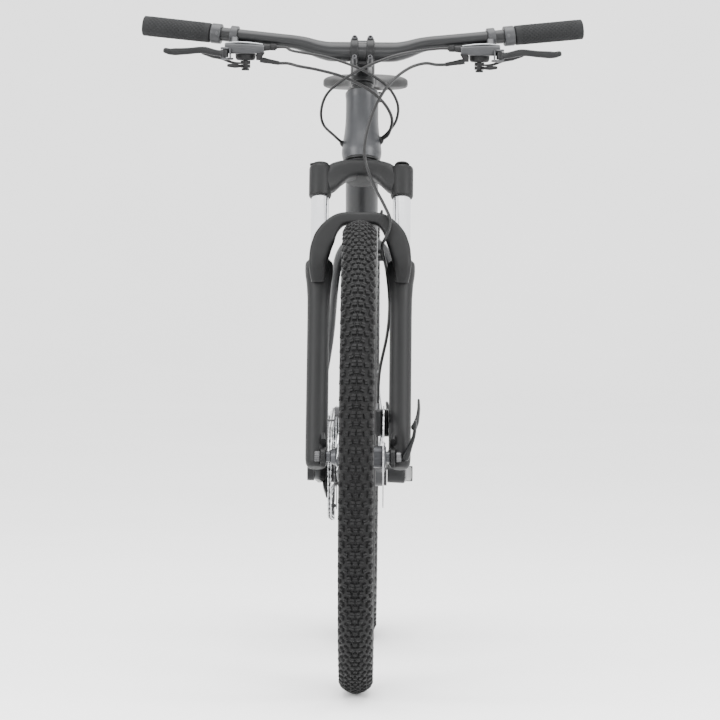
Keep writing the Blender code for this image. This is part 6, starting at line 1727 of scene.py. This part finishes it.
across = np.cross(SIDE, along)
size = np.linalg.norm(TENSION - GUIDE) * 1000
outline = [(-8.8, -4), (-6, -7.8), (8, -7.2), (20, -5.6), (size - 12, -5.6), (size, -6.8),
           (size + 6.8, 0), (size, 6.8),
           (size - 12, 5.6), (20, 5.6), (8, 7.2), (-6, 7.8), (-8.8, 4)]
cage = [slab(outline, 0.0015, GUIDE + SIDE * (CHAIN_X + x) / 1000, along, across,
             0.0003) for x in (-7.5, 6.3)]
cage += [rod(at + SIDE * (CHAIN_X - 7.8) / 1000, at + SIDE * (CHAIN_X + 6.4) / 1000, 0.0029,
             steps=24)
         for at in (GUIDE, TENSION)]
piece("rear_mech_cage", cage, steel, "derailleur_cage", "rear_derailleur_cage", 30)
for at, name in ((GUIDE, "guide"), (TENSION, "tension")):
    wheel = disc(teeth(11, LINK / 1000, 0.0050), lambda a: 0.0086 + 0.0004 * np.cos(a * 11),
                 0.0021,
                 at + SIDE * CHAIN_X / 1000, SIDE, 264, 0.0003)
    core = turn(rounded(np.array([(3.5, -2.0), (8.9, -2.0), (9.3, -0.8), (9.3, 0.8), (8.9, 2.0),
                                  (3.5, 2.0), (3.5, -2.0)])
                        / 1000, 0.0003), at + SIDE * CHAIN_X / 1000, SIDE, 48)
    piece(name + "_pulley_wheel", [wheel, core], black_plastic, name + "_pulley",
                  name + "_pulley", 30)
print("drivetrain made")

# %% [markdown]
# ## Floor, light and camera
# The bike stands on a plain pale floor that curves up all round, far away, so that it
# has no edge. Large soft lamps give long highlights on the tubes, and the camera
# stands far back with a long lens, a little above the hubs, looking at the front.


# %% Floor and backdrop
def backdrop():
    """A round floor: height stays nought to 12 m out, then follows a quarter circle."""
    bend = np.linspace(0, np.pi / 2, 12)
    r = np.concatenate([np.linspace(0, 12, 14), 12 + 3.5 * np.sin(bend[1:])])
    z = np.concatenate([np.zeros(14), 3.5 - 3.5 * np.cos(bend[1:])])
    a = np.linspace(0, 2 * np.pi, 96, endpoint=False)
    grid = np.stack([r[:, None] * np.cos(a), r[:, None] * np.sin(a), np.repeat(z[:, None], 96, 1)],
                    -1)
    return grid.reshape(-1, 3), grid_faces(len(r), 96)


floor_paint = finish("floor_paint", (0.86, 0.86, 0.86), (0.90, 0.90, 0.90), (0.6, 0.75), patch=0.6,
                     grain=60, bump=0.02)
points, quads = backdrop()
mesh = bpy.data.meshes.new("floor")
mesh.from_pydata(points.tolist(), [], quads.tolist())
mesh.shade_smooth()
mesh.materials.append(floor_paint)
floor = bpy.data.objects.new("floor", mesh)
bpy.context.scene.collection.objects.link(floor)


# %% Lights
def lamp(name, place, aim, size, power):
    """A soft square lamp at a place, facing a point."""
    data = bpy.data.lights.new(name, "AREA")
    data.shape, data.size, data.energy = "SQUARE", size, power
    obj = bpy.data.objects.new(name, data)
    obj.location = place
    way = np.array(aim) - np.array(place)
    obj.rotation_euler = Vector(way).to_track_quat("-Z", "Y").to_euler()
    bpy.context.scene.collection.objects.link(obj)
    return obj


lamp("left_window", (-3.4, -3.2, 2.2), (0, 0, 0.6), 2.2, 170)
lamp("right_window", (3.4, -3.0, 2.2), (0, 0, 0.6), 2.2, 170)
lamp("overhead", (0, -0.6, 4.4), (0, 0, 0.4), 3.4, 260)
lamp("front_fill", (0.0, -7.5, 2.6), (0, 0, 0.6), 2.0, 90)
world = bpy.data.worlds.new("studio")
bpy.context.scene.world = world
world.use_nodes = True
world.node_tree.nodes["Background"].inputs["Color"].default_value = (1.0, 1.0, 1.0, 1)
world.node_tree.nodes["Background"].inputs["Strength"].default_value = 2.6

# %% Camera
camera_data = bpy.data.cameras.new("camera")
camera_data.sensor_width, camera_data.lens = 36.0, 256.8
camera = bpy.data.objects.new("camera", camera_data)
camera.location = (0.064, -8.560, 0.750)
camera.rotation_mode = "XYZ"
camera.rotation_euler = (math.radians(90 - 1.64), 0.0, math.radians(0.444))
bpy.context.scene.collection.objects.link(camera)
bpy.context.scene.camera = camera
bpy.context.view_layer.update()
camera.matrix_world = camera.matrix_world @ Matrix.Rotation(math.radians(0.5), 4, "Z")
print("camera at", tuple(camera.location))

# %% [markdown]
# ## Face counts
# The visual model must stay the size of the mechanical one. The pieces with the
# most faces, and the total number of faces, are printed.

# %% Face counts
for name, count in sorted(MADE, key=lambda m: -m[1])[:8]:
    print(name, count, "faces")
print("pieces made:", len(MADE), "faces:", sum(count for _, count in MADE))
